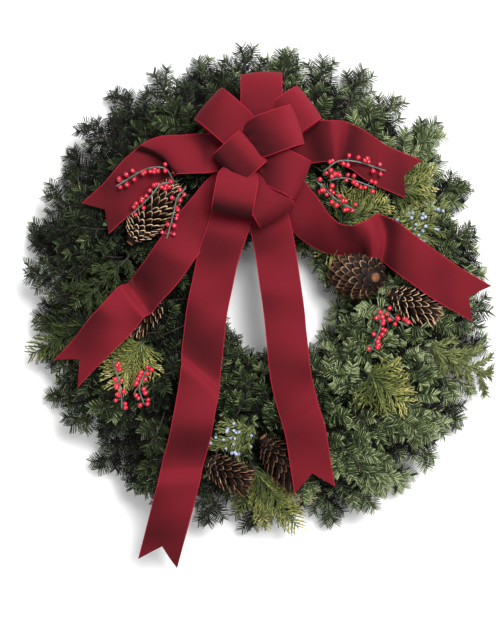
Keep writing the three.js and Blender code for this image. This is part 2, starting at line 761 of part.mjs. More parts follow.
function needledTwig(shell, root, { owner, curve, bareOnes, whorls, radius, length, lean, only }) {
  const raise = needles(shell, { owner, length, lean, only });
  const first = bareOnes.length;
  grow(shell, root, {
    curve,
    stations: whorledStations(bareOnes, whorls),
    radius: (t) => radius * (1 - 0.62 * t),
    dress: (faces, k, tangent) => {
      if (k >= first && (k - first) % 2 === 0) {
        raise(faces, tangent);
      } else {
        shell.faces.push(...faces);
      }
    },
  });
}

// The twigs of a bundle, in their order round the stub's end: how far each turns, its
// reach, its end height and how far it arches
const TWIGS = [
  { face: 5, turn: 6, reach: (i) => OUTER_REACH[i], end: 26, rise: 4, whorls: 3 },
  { face: 6, turn: 16, reach: (i) => OUTER_REACH[i] - 8, end: 62, rise: 16, whorls: 3 },
  { face: 7, turn: 12, reach: () => 243, end: 90, rise: 8, whorls: 2 },
  { face: 0, turn: 25, reach: () => 184, end: 90, rise: 8, whorls: 2 },
  { face: 1, turn: 14, reach: () => 126, end: 86, rise: 8, whorls: 2 },
  { face: 2, turn: 8, reach: (i) => INNER_REACH[i], end: 38, rise: 8, whorls: 2 },
];

function twigCurve(bundle, kind, root, slide = 0, drop = 0) {
  const twig = TWIGS[kind];
  const start = Math.atan2(root.y, root.x) / degToRad(1);
  const from = Math.hypot(root.x, root.y);
  const turn = bundleAngle(bundle) + twig.turn + around(bundle, kind, 1.4) + slide - start;
  const swung = THREE.MathUtils.euclideanModulo(turn + 180, 360) - 180;
  const reach = twig.reach(bundle) + around(bundle, kind + 10, 5);
  const end = twig.end + around(bundle, kind + 20, 4) - drop;
  const points = [0, 0.12, 0.35, 0.65, 1].map((t) => {
    const swing = 1 - (1 - t) ** 2;
    const spread = t ** 1.5;
    const height = root.z + (end - root.z) * Math.sin((t * Math.PI) / 2)
      + twig.rise * Math.sin(t * Math.PI);
    return polar(start + swung * swing, from + (reach - from) * spread, height);
  });
  return new THREE.CatmullRomCurve3(points);
}

// The stub's closed shell, without the triangles of its front end, which the twigs grow from
function stubShell(bundle) {
  const [from, to] = [-STUB_BACK, STUB_FRONT].map((turn) =>
    polar(bundleAngle(bundle) + turn, RING_RADIUS / Math.cos(degToRad(5)), STUB_HEIGHT));
  const shell = new Shell();
  const tangent = to.clone().sub(from).normalize();
  const rings = [from, to].map((p) => shell.ring(
    sectionAt(p, tangent, UP, STUB_SIDES, STUB_CORNER, Math.PI / STUB_SIDES),
  ));
  shell.fan(rings[0], true);
  shell.band(rings[0], rings[1]);
  const apex = shell.point(to.clone().addScaledVector(tangent, 7));
  const front = rings[1].map((p, i) => [p, rings[1][(i + 1) % STUB_SIDES], apex]);
  room.take(numbered('fir_bundle', bundle), from, to, STUB_CORNER);
  return { shell, front };
}

// A blocked twig is tried again a little aside or lower
const SLIDES = [[0, 0], [2, 0], [-2, 0], [0, 8], [4, 4], [-4, 4], [0, 16], [6, 8], [-5, 12]];

function layTwigs(bundle, { shell, front }) {
  return TWIGS.map(({ face }, kind) => {
    const family = numbered('fir_bundle', bundle);
    const owner = `${family} twig ${kind}`;
    const root = middleOf(front[face].map((i) => shell.points[i]));
    const fit = SLIDES.map((shift) => twigCurve(bundle, kind, root, ...shift)).find((curve) => {
      const points = curve.getSpacedPoints(12);
      return points.slice(1).every((p, k) =>
        room.free(family, points[k], p, TWIG_RADIUS, 0.5));
    });
    if (fit) {
      room.takeLine(owner, fit.getSpacedPoints(12), TWIG_RADIUS);
    }
    return { owner, curve: fit, kind };
  });
}

function buildFir() {
  const bundles = Array.from({ length: BUNDLES }, (_, i) => stubShell(i));
  const laid = bundles.map((bundle, i) => layTwigs(i, bundle));
  bundles.forEach(({ shell, front }, i) => {
    const grown = new Set();
    laid[i].filter(({ curve }) => curve).forEach(({ owner, curve, kind }) => {
      const { face, whorls } = TWIGS[kind];
      grown.add(face);
      needledTwig(shell, front[face], {
        owner,
        curve,
        bareOnes: [0, 0.17, 0.34],
        whorls,
        radius: TWIG_RADIUS + 0.6,
        length: NEEDLE_LENGTH + around(i, kind + 30, 3),
        lean: 44,
      });
    });
    shell.faces.push(...front.filter((_, face) => !grown.has(face)));
    place(numbered('fir_bundle', i), shell.solid(), 'fir');
  });
}

// Cedar and juniper sprays: the bundle each is stuck in, where it lies on top, and how
// its leaves stand
const LEAVES = {
  cedar: { length: 19, lean: 34, only: (out) => Math.abs(out.z) < 0.8 },
  juniper: { length: 12, lean: 52 },
};
const SPRAYS = [
  { name: 'cedar_upper_right', seat: 2, line: [[92, 84, 96], [124, 98, 97], [156, 112, 95]] },
  { name: 'cedar_right', seat: 2, line: [[158, 124, 92], [182, 132, 93], [208, 138, 90]] },
  { name: 'cedar_hole', seat: 1, line: [[108, 86, 92], [90, 64, 89], [76, 46, 84]] },
  { name: 'cedar_lower_right', seat: 16, line: [[130, -102, 94], [152, -122, 96], [178, -140, 92]] },
  { name: 'cedar_lower_left', seat: 10, line: [[-152, -62, 94], [-170, -90, 95], [-188, -120, 90]] },
  { name: 'cedar_left', seat: 9, line: [[-214, -38, 78], [-256, -58, 66], [-300, -80, 48]] },
  { name: 'cedar_bottom', seat: 13, line: [[-12, -222, 86], [16, -262, 76], [44, -300, 56]] },
  { name: 'juniper_right', seat: 2, berries: 7, line: [[150, 70, 98], [178, 78, 98], [208, 86, 94]] },
  { name: 'juniper_bottom', seat: 14, berries: 7, line: [[-14, -166, 88], [-38, -182, 90], [-62, -200, 88]] },
  { name: 'juniper_left', seat: 8, line: [[-172, 42, 92], [-198, 18, 92], [-224, -8, 84]] },
  { name: 'juniper_lower_right', seat: 17, line: [[208, -70, 76], [246, -88, 64], [288, -106, 48]] },
];
const SPRAY_WHORLS = 3;
const SIDE_TWIG = 0.42;           // of the length that lies on top

// A side twig from the triangle of a band that faces its side best
function sideTwig(shell, owner, faces, tangent, side, reach, leaf) {
  const across = UP.clone().cross(tangent).normalize().multiplyScalar(side);
  const facing = (face) => normalOf(face.map((i) => shell.points[i])).dot(across);
  const best = faces.reduce((a, b) => (facing(a) > facing(b) ? a : b));
  const root = middleOf(best.map((i) => shell.points[i]));
  const ahead = tangent.clone().multiplyScalar(0.8).addScaledVector(across, 0.6);
  const curve = new THREE.CatmullRomCurve3([
    root,
    root.clone().addScaledVector(across, reach * 0.2).addScaledVector(tangent, reach * 0.15),
    root.clone().addScaledVector(ahead, reach).add(vec(0, 0, -3)),
  ]);
  const points = curve.getSpacedPoints(6).slice(1);
  const fits = points.slice(1).every((p, k) => room.free(owner, points[k], p, 1.6, 0.5));
  shell.faces.push(...faces.filter((face) => face !== best || !fits));
  if (fits) {
    const name = `${owner} side`;
    room.takeLine(name, points, 1.4);
    needledTwig(shell, best, {
      ...leaf, owner: name, curve, bareOnes: [0, 0.2], whorls: 1, radius: 1.6,
    });
  }
}

function buildSpray({ name, seat, line, berries = 0 }) {
  const kind = name.split('_')[0];
  const leaf = LEAVES[kind];
  const curve = new THREE.CatmullRomCurve3(risingLine(seat, line));
  const bare = shareOf(curve, vec(...line[0]));
  const bareOnes = [...bareStations(bare), bare];
  const first = bareOnes.length - 1;
  const onTop = curve.getLength() * (1 - bare);
  const owner = `${name} main`;
  room.takeLine(owner, curve.getSpacedPoints(24), 1.8);
  const shell = new Shell();
  const raise = needles(shell, { owner, ...leaf });
  grow(shell, null, {
    curve,
    stations: whorledStations(bareOnes, SPRAY_WHORLS, 0.4),
    radius: (t) => 2 - t,
    dress: (faces, k, tangent) => {
      const past = k - first;
      const side = past % 4 === 0 ? 1 : -1;
      if (past < 0) {
        shell.faces.push(...faces);
      } else if (past % 2) {
        raise(faces, tangent);
      } else if (berries) {
        berryOn(shell, name, faces, tangent.clone().cross(UP).multiplyScalar(side), 3.2);
      } else {
        sideTwig(shell, name, faces, tangent, side, onTop * SIDE_TWIG, leaf);
      }
    },
  });
  place(name, shell.solid(), kind);
}

buildRing();
buildBow();
buildTails();
buildBowWire();
CONES.forEach(buildCone);
PICKS.forEach(buildPick);
SPRAYS.forEach(buildSpray);
buildFir();

// The origin stands under the middle of the wreath's box
const box = new THREE.Box3().setFromObject(wreath);
const middle = box.getCenter(vec(0, 0, 0));
wreath.position.set(-middle.x, -middle.y, -box.min.z);

export default wreath;
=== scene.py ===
"""The looks of a fresh evergreen wreath with a red velvet bow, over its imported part.

Lengths are in millimetres from the ring's centre as the wreath lies on its back, until
a piece is made, which puts it in metres in the part's own frame.
"""
import math

import bpy
import numpy as np
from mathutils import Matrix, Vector
from mathutils.bvhtree import BVHTree


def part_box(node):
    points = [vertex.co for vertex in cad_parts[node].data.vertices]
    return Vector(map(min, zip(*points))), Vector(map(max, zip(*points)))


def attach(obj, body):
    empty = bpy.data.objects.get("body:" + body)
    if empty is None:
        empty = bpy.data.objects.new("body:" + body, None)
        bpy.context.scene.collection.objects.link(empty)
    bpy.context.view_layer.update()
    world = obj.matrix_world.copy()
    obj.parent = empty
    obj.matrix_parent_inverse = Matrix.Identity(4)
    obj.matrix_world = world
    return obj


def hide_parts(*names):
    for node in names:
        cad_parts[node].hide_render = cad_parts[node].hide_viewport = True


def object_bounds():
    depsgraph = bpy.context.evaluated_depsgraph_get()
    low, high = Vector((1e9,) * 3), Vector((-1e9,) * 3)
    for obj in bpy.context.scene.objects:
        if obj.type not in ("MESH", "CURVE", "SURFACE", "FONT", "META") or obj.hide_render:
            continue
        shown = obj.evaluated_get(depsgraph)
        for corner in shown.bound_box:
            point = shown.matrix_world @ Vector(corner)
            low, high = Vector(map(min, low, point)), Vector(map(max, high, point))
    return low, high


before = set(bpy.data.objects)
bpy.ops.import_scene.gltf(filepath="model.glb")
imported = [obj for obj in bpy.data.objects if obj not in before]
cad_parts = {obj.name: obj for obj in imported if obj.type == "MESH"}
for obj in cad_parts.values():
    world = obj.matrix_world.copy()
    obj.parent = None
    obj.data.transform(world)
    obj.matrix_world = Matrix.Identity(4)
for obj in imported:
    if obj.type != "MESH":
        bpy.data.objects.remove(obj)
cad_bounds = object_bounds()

BUNDLES = 18
PITCH = 360 / BUNDLES
RING_RADIUS = 178.0
STUB_HEIGHT = 14.35  # the middle of the cut stems in their clamp
RIBBON_WIDTH = 50.8
NECK_WIDTH = 13.0  # a ribbon where it is gathered
KNOT = np.array([-12.0, 167.0, 112.0])
SEAT_HEIGHT = 23.7  # where wires, picks and sprays stand on the cut stems
CONE_SEATS = (8, 10, 1, 0, 13, 14)  # the bundles with a cone's wire
BERRY_RADIUS = 3.15
BERRY_TOP = 126.0  # no berry's middle is higher
BOX_SLACK = 1.5  # how far a leaf may stand past the part's own box
WOOD = dict(kind=1, tone=0.3, age=0.0)  # the surface values of a twig
UP = np.array([0.0, 0.0, 1.0])
DOWN = Vector((0, 0, -1))
FOLIAGE_TOP = 60  # what is higher than this lies on the foliage

# How far the outer and the inner twigs of each bundle reach from the ring's centre
OUTER_REACH = [282, 292, 308, 312, 318, 314, 320, 309, 308, 300, 306, 308, 306, 298, 312, 306, 300, 292]
INNER_REACH = [82, 78, 74, 72, 72, 70, 68, 64, 62, 62, 64, 68, 76, 84, 88, 88, 88, 86]

low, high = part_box("clamp_ring")
RING_CENTRE = np.array([(low.x + high.x) / 2, (low.y + high.y) / 2, 0.0])  # metres
BOX_LOW, BOX_HIGH = (np.array(corner) * 1000 - RING_CENTRE * 1000 for corner in cad_bounds)
rng = np.random.default_rng(1914)


# ---- shapes ----
def chance(i, k):
    """The part's own draw from 0 to 1, for what has to lie where the part has it."""
    value = math.sin(i * 12.9898 + k * 78.233) * 43758.5453
    return value - math.floor(value)


def around(i, k, spread):
    return (chance(i, k) - 0.5) * 2 * spread


def polar(angle, radius, z):
    turn = math.radians(angle)
    return np.array([radius * math.cos(turn), radius * math.sin(turn), z])


def unit(v):
    return v / np.maximum(np.linalg.norm(v, axis=-1, keepdims=True), 1e-9)


def run_of(line):
    """The distance along a line at each of its points."""
    return np.concatenate([[0.0], np.cumsum(np.linalg.norm(np.diff(line, axis=0), axis=1))])


def along(line, where, field=None):
    """The line's points, or a field's values, at these distances along the line."""
    run, field = run_of(line), line if field is None else field
    return np.stack([np.interp(where, run, field[:, k]) for k in range(3)], axis=-1)


def smooth_line(points, spacing):
    """A smooth line through points, with its own points about that far apart."""
    p = np.array(points, float)
    p = np.vstack([2 * p[0] - p[1], p, 2 * p[-1] - p[-2]])
    parts = []
    t = np.linspace(0, 1, 16, endpoint=False)[:, None]
    for a, b, c, d in zip(p, p[1:], p[2:], p[3:]):
        ta, tb, tc = (max(float(np.linalg.norm(v)), 1e-6) ** 0.5 for v in (b - a, c - b, d - c))
        leave = ((b - a) / ta - (c - a) / (ta + tb) + (c - b) / tb) * tb
        arrive = ((c - b) / tb - (d - b) / (tb + tc) + (d - c) / tc) * tb
        parts.append((2 * t**3 - 3 * t**2 + 1) * b + (t**3 - 2 * t**2 + t) * leave
                     + (3 * t**2 - 2 * t**3) * c + (t**3 - t**2) * arrive)
    fine = np.vstack([*parts, p[-2:-1]])
    length = run_of(fine)[-1]
    return along(fine, np.linspace(0, length, max(2, round(length / spacing) + 1)))


def tangents(line):
    return unit(np.gradient(line, axis=0))


def beside(ahead, hand=1):
    """The level way across a line, to its right or, with a hand of -1, to its left."""
    return unit(np.cross(ahead, UP)) * hand


def fork(ahead, side, degrees):
    """The way of a branch that turns off to one side."""
    turn = math.radians(degrees)
    return ahead * math.cos(turn) + side * math.sin(turn)


def softened(values, reach):
    """Each value averaged with its neighbours to both sides."""
    count = 2 * reach + 1
    return np.convolve(np.pad(values, reach, mode="edge"), np.ones(count) / count, mode="valid")


def grid_quads(rows, columns):
    """The faces of a grid of points."""
    k = (np.arange(rows - 1)[:, None] * columns + np.arange(columns - 1)).ravel()
    return np.stack([k, k + 1, k + columns + 1, k + columns], axis=1)


def tube_quads(rows, sides):
    """The faces of rings of points, one after the other."""
    k = np.arange(sides)
    first = np.arange(rows - 1)[:, None] * sides
    after = first + (k + 1) % sides
    return np.stack([first + k, after, after + sides, first + k + sides], axis=-1).reshape(-1, 4)


def sphere(segments, rings):
    """The points and the faces of a ball of radius 1."""
    bpy.ops.mesh.primitive_uv_sphere_add(segments=segments, ring_count=rings, radius=1)
    made = bpy.context.active_object
    points = np.array([v.co for v in made.data.vertices])
    faces = [list(p.vertices) for p in made.data.polygons]
    # Blender starts them anywhere and gives them in any order
    faces = sorted(f[f.index(min(f)):] + f[:f.index(min(f))] for f in faces)
    bpy.data.objects.remove(made, do_unlink=True)
    return points, [np.array([f for f in faces if len(f) == n]) for n in (3, 4)]


class Mould:
    """Gathers the points, faces and surface values of one piece."""

    def __init__(self):
        self.points, self.faces, self.values, self.count = [], {3: [], 4: []}, {}, 0

    def add(self, points, faces, **values):
        points = np.asarray(points, float).reshape(-1, 3)
        for f in faces:
            if len(f):
                self.faces[np.asarray(f).shape[1]].append(np.asarray(f) + self.count)
        for name in dict.fromkeys([*self.values, *values]):
            rows = self.values.setdefault(name, [np.zeros(self.count)])
            rows.append(np.broadcast_to(np.asarray(values.get(name, 0.0), float), (len(points),)))
        self.points.append(points)
        self.count += len(points)

    def build(self, name, materials, which=None):
        """The object, in metres. which is the value that says a face's material, by its first point."""
        points = (np.vstack(self.points) / 1000) + RING_CENTRE
        sets = [np.vstack(f) for f in self.faces.values() if f]
        corners = np.concatenate([f.ravel() for f in sets])
        sizes = np.concatenate([np.full(len(f), f.shape[1]) for f in sets])
        mesh = bpy.data.meshes.new(name)
        mesh.vertices.add(len(points))
        mesh.vertices.foreach_set("co", points.astype(np.float32).ravel())
        mesh.loops.add(len(corners))
        mesh.loops.foreach_set("vertex_index", corners.astype(np.int32))
        mesh.polygons.add(len(sizes))
        starts = np.concatenate([[0], np.cumsum(sizes)[:-1]])
        mesh.polygons.foreach_set("loop_start", starts.astype(np.int32))
        values = {k: np.concatenate(v) for k, v in self.values.items()}
        if which:
            first = corners[starts]
            mesh.polygons.foreach_set("material_index", np.rint(values[which][first]).astype(np.int32))
        for key, value in values.items():
            if key not in ("u", "v", which):
                attribute = mesh.attributes.new(key, "FLOAT", "POINT")
                attribute.data.foreach_set("value", value.astype(np.float32))
        if "u" in values:
            uv = np.stack([values["u"], values["v"]], axis=1)[corners]
            mesh.uv_layers.new(name="UVMap").data.foreach_set("uv", uv.astype(np.float32).ravel())
        for m in materials:
            mesh.materials.append(m)
        mesh.update(calc_edges=True)
        piece = bpy.data.objects.new(name, mesh)
        bpy.context.collection.objects.link(piece)
        return piece


def tube(mould, line, radii, sides=6, **values):
    """A round stem along a line, closed at both ends."""
    line = np.asarray(line, float)
    ahead = tangents(line)
    radii = np.broadcast_to(np.asarray(radii, float), (len(line),))
    side = np.cross(ahead[0], UP if abs(ahead[0][2]) < 0.9 else np.array([1.0, 0, 0]))
    rings = []
    for point, way, radius in zip(line, ahead, radii):
        side = unit(side - way * (side @ way))
        other = np.cross(way, side)
        turn = np.arange(sides) * 2 * math.pi / sides
        rings.append(point + radius * (np.cos(turn)[:, None] * side + np.sin(turn)[:, None] * other))
    points = np.vstack([*rings, line[:1], line[-1:]])
    n, last = len(line), (len(line) - 1) * sides
    k = np.arange(sides)
    after = (k + 1) % sides
    base = np.stack([after, k, np.full(sides, n * sides)], axis=1)
    top = np.stack([last + k, last + after, np.full(sides, n * sides + 1)], axis=1)
    mould.add(points, [tube_quads(n, sides), base, top], **values)


def blades(mould, base, aim, length, width, up, **values):
    """Narrow leaves with three sides and a blunt tip, all at once."""
    count = len(base)
    if not count:
        return
    length, width = (np.broadcast_to(np.asarray(x, float), (count,))[:, None] for x in (length, width))
    side = unit(np.cross(aim, up))
    top = np.cross(side, aim)
    points = []
    for share, half in ((0.0, 0.5), (1.0, 0.3)):
        middle = base + aim * length * share
        aside = side * width * half
        points += [middle + top * width * half * 0.8, middle + aside, middle - aside]
    points = np.stack(points, axis=1).reshape(-1, 3)
    start = (np.arange(count) * 6)[:, None, None]
    quads = np.array([[0, 1, 4, 3], [1, 2, 5, 4], [2, 0, 3, 5]])
    ends = np.array([[3, 4, 5]])
    spread = {k: np.repeat(np.broadcast_to(v, (count,)), 6) for k, v in values.items()}
    spread["age"] = np.tile([0.0, 0.0, 0.0, 1.0, 1.0, 1.0], count)
    mould.add(points, [(start + quads).reshape(-1, 4), (start + ends).reshape(-1, 3)], **spread)


# ---- materials ----
class Finish:
    """A procedural material, its nodes made one by one."""

    def __init__(self, name, roughness, **sockets):
        self.material = bpy.data.materials.new(name)
        self.material.use_nodes = True
        self.tree = self.material.node_tree
        self.shader = self.tree.nodes["Principled BSDF"]
        self.shader.inputs["Roughness"].default_value = roughness
        for key, value in sockets.items():
            self.shader.inputs[key.replace("_", " ")].default_value = value

    def node(self, kind, links=(), **settings):
        node = self.tree.nodes.new(kind)
        for key, value in settings.items():
            if key in node.inputs:
                node.inputs[key].default_value = value
            else:
                setattr(node, key, value)
        for key, source in dict(links).items():
            self.tree.links.new(source, node.inputs[key])
        return node

    def value(self, name):
        return self.node("ShaderNodeAttribute", attribute_name=name).outputs["Fac"]

    def noise(self, scale):
        place = self.node("ShaderNodeTexCoord").outputs["Object"]
        return self.node("ShaderNodeTexNoise", {"Vector": place}, Scale=scale, Detail=3.0).outputs["Fac"]

    def maths(self, operation, a, b):
        node = self.node("ShaderNodeMath", operation=operation)
        for socket, given in zip(node.inputs, (a, b)):
            if isinstance(given, (int, float)):
                socket.default_value = given
            else:
                self.tree.links.new(given, socket)
        return node.outputs[0]

    def plus(self, a, b, share):
        """The sum of a and of a share of b."""
        return self.maths("ADD", a, self.maths("MULTIPLY", b, share))

    def ramp(self, source, stops):
        node = self.node("ShaderNodeValToRGB", {"Fac": source})
        elements = node.color_ramp.elements
        while len(elements) < len(stops):
            elements.new(0.5)
        for element, (place, colour) in zip(elements, stops):
            element.position = place
            element.color = (*linear(colour), 1)
        return node.outputs["Color"]

    def mix(self, share, a, colour):
        node = self.node("ShaderNodeMix", {"Factor": share, 6: a}, data_type="RGBA")
        node.inputs[7].default_value = (*linear(colour), 1)
        return node.outputs[2]

    def colour(self, source):
        self.tree.links.new(source, self.shader.inputs["Base Color"])

    def bump(self, source, strength, distance):
        node = self.node("ShaderNodeBump", {"Height": source}, Strength=strength, Distance=distance)
        self.tree.links.new(node.outputs["Normal"], self.shader.inputs["Normal"])


def linear(colour):
    """A colour written as #RRGGBB, as linear light."""
    values = [int(colour[k:k + 2], 16) / 255 for k in (1, 3, 5)]
    return [v / 12.92 if v <= 0.04045 else ((v + 0.055) / 1.055) ** 2.4 for v in values]


def leaf_finish(name, stops, roughness):
    """A leaf's colour goes by its tone, lighter to its tip, with uneven patches; the fir's tone also
    carries its painted shade and painted side light.
    """
    finish = Finish(name, roughness, Specular_IOR_Level=0.15)
    shade = finish.plus(finish.value("tone"), finish.value("age"), 0.22)
    finish.colour(finish.ramp(finish.plus(shade, finish.noise(30.0), 0.3), stops))
    return finish.material


def two_tone(name, dark, light, scale, roughness, bump=0.0, **sockets):
    finish = Finish(name, roughness, **sockets)
    grain = finish.noise(scale)
    finish.colour(finish.ramp(grain, [(0.3, dark), (0.7, light)]))
    if bump:
        finish.bump(grain, bump, 0.0005)
    return finish.material


def velvet_finish():
    """Deep red velvet with a mottled pile, painted lighter where it faces the way of the painted light
    and darker where it faces away, and a brighter woven edge along both sides.
    """
    finish = Finish("red_velvet", 0.85, Sheen_Weight=0.12, Sheen_Roughness=0.4,
                    Sheen_Tint=(*linear("#C84A56"), 1), Specular_IOR_Level=0.12)
    pile = finish.maths("MULTIPLY", finish.maths("ADD", finish.noise(900.0), finish.noise(22.0)), 0.12)
    # The pile's mottling plus the painted light and shade that the ribbon carries
    nap = finish.plus(pile, finish.value("nap"), 0.62)
    cloth = finish.ramp(finish.maths("ADD", nap, 0.38), [
        (0.1, "#28060A"), (0.36, "#490B13"), (0.52, "#5E101A"), (0.72, "#6A1420"), (0.95, "#741925")])
    over_cloth = finish.node("ShaderNodeTexCoord").outputs["UV"]
    across = finish.node("ShaderNodeSeparateXYZ", {"Vector": over_cloth})
    from_middle = finish.maths("ABSOLUTE", finish.maths("SUBTRACT", across.outputs["X"], 0.5), 0.0)
    edge = finish.maths("GREATER_THAN", from_middle, 0.484)
    finish.colour(finish.mix(edge, cloth, "#8E192A"))
    finish.bump(finish.noise(1400.0), 0.25, 0.0004)
    return finish.material


def cone_finish():
    finish = Finish("pine_cone_scale", 0.7, Specular_IOR_Level=0.2)
    finish.colour(finish.ramp(finish.plus(finish.value("lip"), finish.noise(260.0), 0.35), [
        (0.2, "#0A0503"), (0.5, "#26140C"), (0.82, "#70492F"), (1.0, "#CDAF8E")]))
    finish.bump(finish.noise(500.0), 0.5, 0.0006)
    return finish.material


VELVET = velvet_finish()
# The fir's darkest stops colour the needles that are painted darker by depth: painted shade
NEEDLE = leaf_finish("fir_needle", [
    (0.12, "#010200"), (0.3, "#090E06"), (0.5, "#26321A"), (0.7, "#5B6A41"), (0.88, "#A9B486")], 0.5)
CEDAR = leaf_finish("cedar_scale_leaf", [
    (0.05, "#0E130A"), (0.3, "#2A351A"), (0.54, "#5C6431"), (0.76, "#A39C58"), (0.95, "#D9CC94")], 0.6)
JUNIPER = leaf_finish("juniper_leaf", [
    (0.05, "#1A2213"), (0.4, "#3F4B29"), (0.75, "#727B49"), (1.0, "#A8A86F")], 0.6)
BARK = two_tone("twig_bark", "#17110B", "#33281B", 180.0, 0.8, 0.4)
STEM = two_tone("berry_stem", "#3C4741", "#69766E", 160.0, 0.6, 0.3)
BERRY = two_tone("red_berry", "#A30D24", "#D2203A", 90.0, 0.22, Coat_Weight=0.5, Coat_Roughness=0.1)
CALYX = two_tone("berry_calyx", "#2A1512", "#4A2A20", 300.0, 0.8)
JUNIPER_BERRY = two_tone("juniper_berry", "#566280", "#B4C0D8", 240.0, 0.65)
CONE = cone_finish()
ENAMEL = two_tone("green_enamelled_wire", "#1E3A24", "#2D5234", 60.0, 0.35)
FLORIST_WIRE = two_tone("florist_wire", "#1A2118", "#2C3628", 200.0, 0.75)


# ---- ribbon ----
PAINTED_LIGHT_WAY = unit(np.array([0.7, 0.7, 0.0]))  # the way of the painted light: the cloth is painted lighter where it faces this way and darker where it faces away
COLUMNS = 16  # faces across a ribbon
ROW_SPACING = 2.5


def ribbon(mould, line, width_at, ways, cup, sway, ends=(0.0, 0.0, 0.0), folds=(), curled=1.0, shade=0.0):
    """A length of ribbon along a line.

    ways holds the cross direction at each point of the line. cup raises the middle and sway
    is how far the cloth waves. ends is how far the left side, the middle and the right side
    of its end stand beyond the line, for a swallowtail. folds are crests and valleys:
    distance along, skew at the right edge, height, and how soft they are before and after.
    curled is how much the painted light and shade go by the line's own bends, and shade
    is how much lighter the whole ribbon is painted, as painted light, or darker below 0, as painted
    shade.
    """
    length = run_of(line)[-1]
    ahead = tangents(line)
    u = np.linspace(-1, 1, COLUMNS + 1)
    beyond = np.interp(u, [-1, 0, 1], ends)
    bend = min(25.0, length / 3)
    rows = max(4, round((length - bend) / ROW_SPACING))
    cut = round((bend + max(ends)) / ROW_SPACING)
    body = np.linspace(0, length - bend, rows + 1)[:, None] + 0 * u
    end = (length - bend) + np.linspace(0, 1, cut + 1)[1:, None] * (bend + beyond)
    s = np.vstack([body, end])
    inside = np.minimum(s, length)
    centre = along(line, inside) + (s - inside)[..., None] * ahead[-1]
    across = along(line, inside, ways)
    forward = unit(along(line, inside, ahead))
    across = unit(across - forward * np.sum(across * forward, axis=-1, keepdims=True))
    normal = np.cross(across, forward)
    width = width_at(inside / length)
    phase = rng.uniform(0, 6.3, 3)
    wave = (np.sin(s / 19 + phase[0] + u * 1.1) + 0.45 * np.sin(s / 9.5 + phase[1] - u * 1.8)) * sway
    gathered = np.clip(1 - width / RIBBON_WIDTH, 0, 1)
    pleats = np.cos(u * 3 * math.pi) * gathered * 4.0
    lift = wave * (1 - gathered) + pleats + cup * (1 - u**2) * (1 - gathered)
    for place, skew, height, before, after in folds:
        away = s - place - skew * u
        lift = lift + height * np.exp(-(away / np.where(away < 0, before, after)) ** 2)
    points = centre + across * (u * width / 2)[..., None] + normal * lift[..., None]
    facing = unit(np.cross(np.gradient(points, axis=1), np.gradient(points, axis=0)))
    # Painted light and shade: the cloth is painted lighter where it faces the painted light's way, darker
    # where it faces away
    mould.add(points, [grid_quads(*s.shape)],
              u=np.broadcast_to((u + 1) / 2, s.shape).ravel(), v=(s / RIBBON_WIDTH).ravel(),
              nap=((facing - normal * (1 - curled)) @ PAINTED_LIGHT_WAY).ravel() + shade)
    return points


def opened(share):
    """A ribbon's width where it has opened out by this share from the knot's gathers."""
    return NECK_WIDTH + (RIBBON_WIDTH - NECK_WIDTH) * np.sin(np.clip(share, 0, 1) * math.pi / 2)


def stand_for(piece, node):
    """The piece is shown in place of this node of the part, and moves as it does."""
    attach(piece, "root")
    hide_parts(node)


def finish_cloth(piece, node):
    """Gives a ribbon its thickness and soft shading, and shows it in place of its node of the part."""
    bpy.ops.object.select_all(action="DESELECT")
    bpy.context.view_layer.objects.active = piece
    piece.select_set(True)
    thick = piece.modifiers.new("thickness", "SOLIDIFY")
    thick.thickness, thick.offset = 0.0006, 0.0
    bpy.ops.object.modifier_apply(modifier=thick.name)
    bpy.ops.object.shade_smooth_by_angle(angle=math.radians(50))
    stand_for(piece, node)
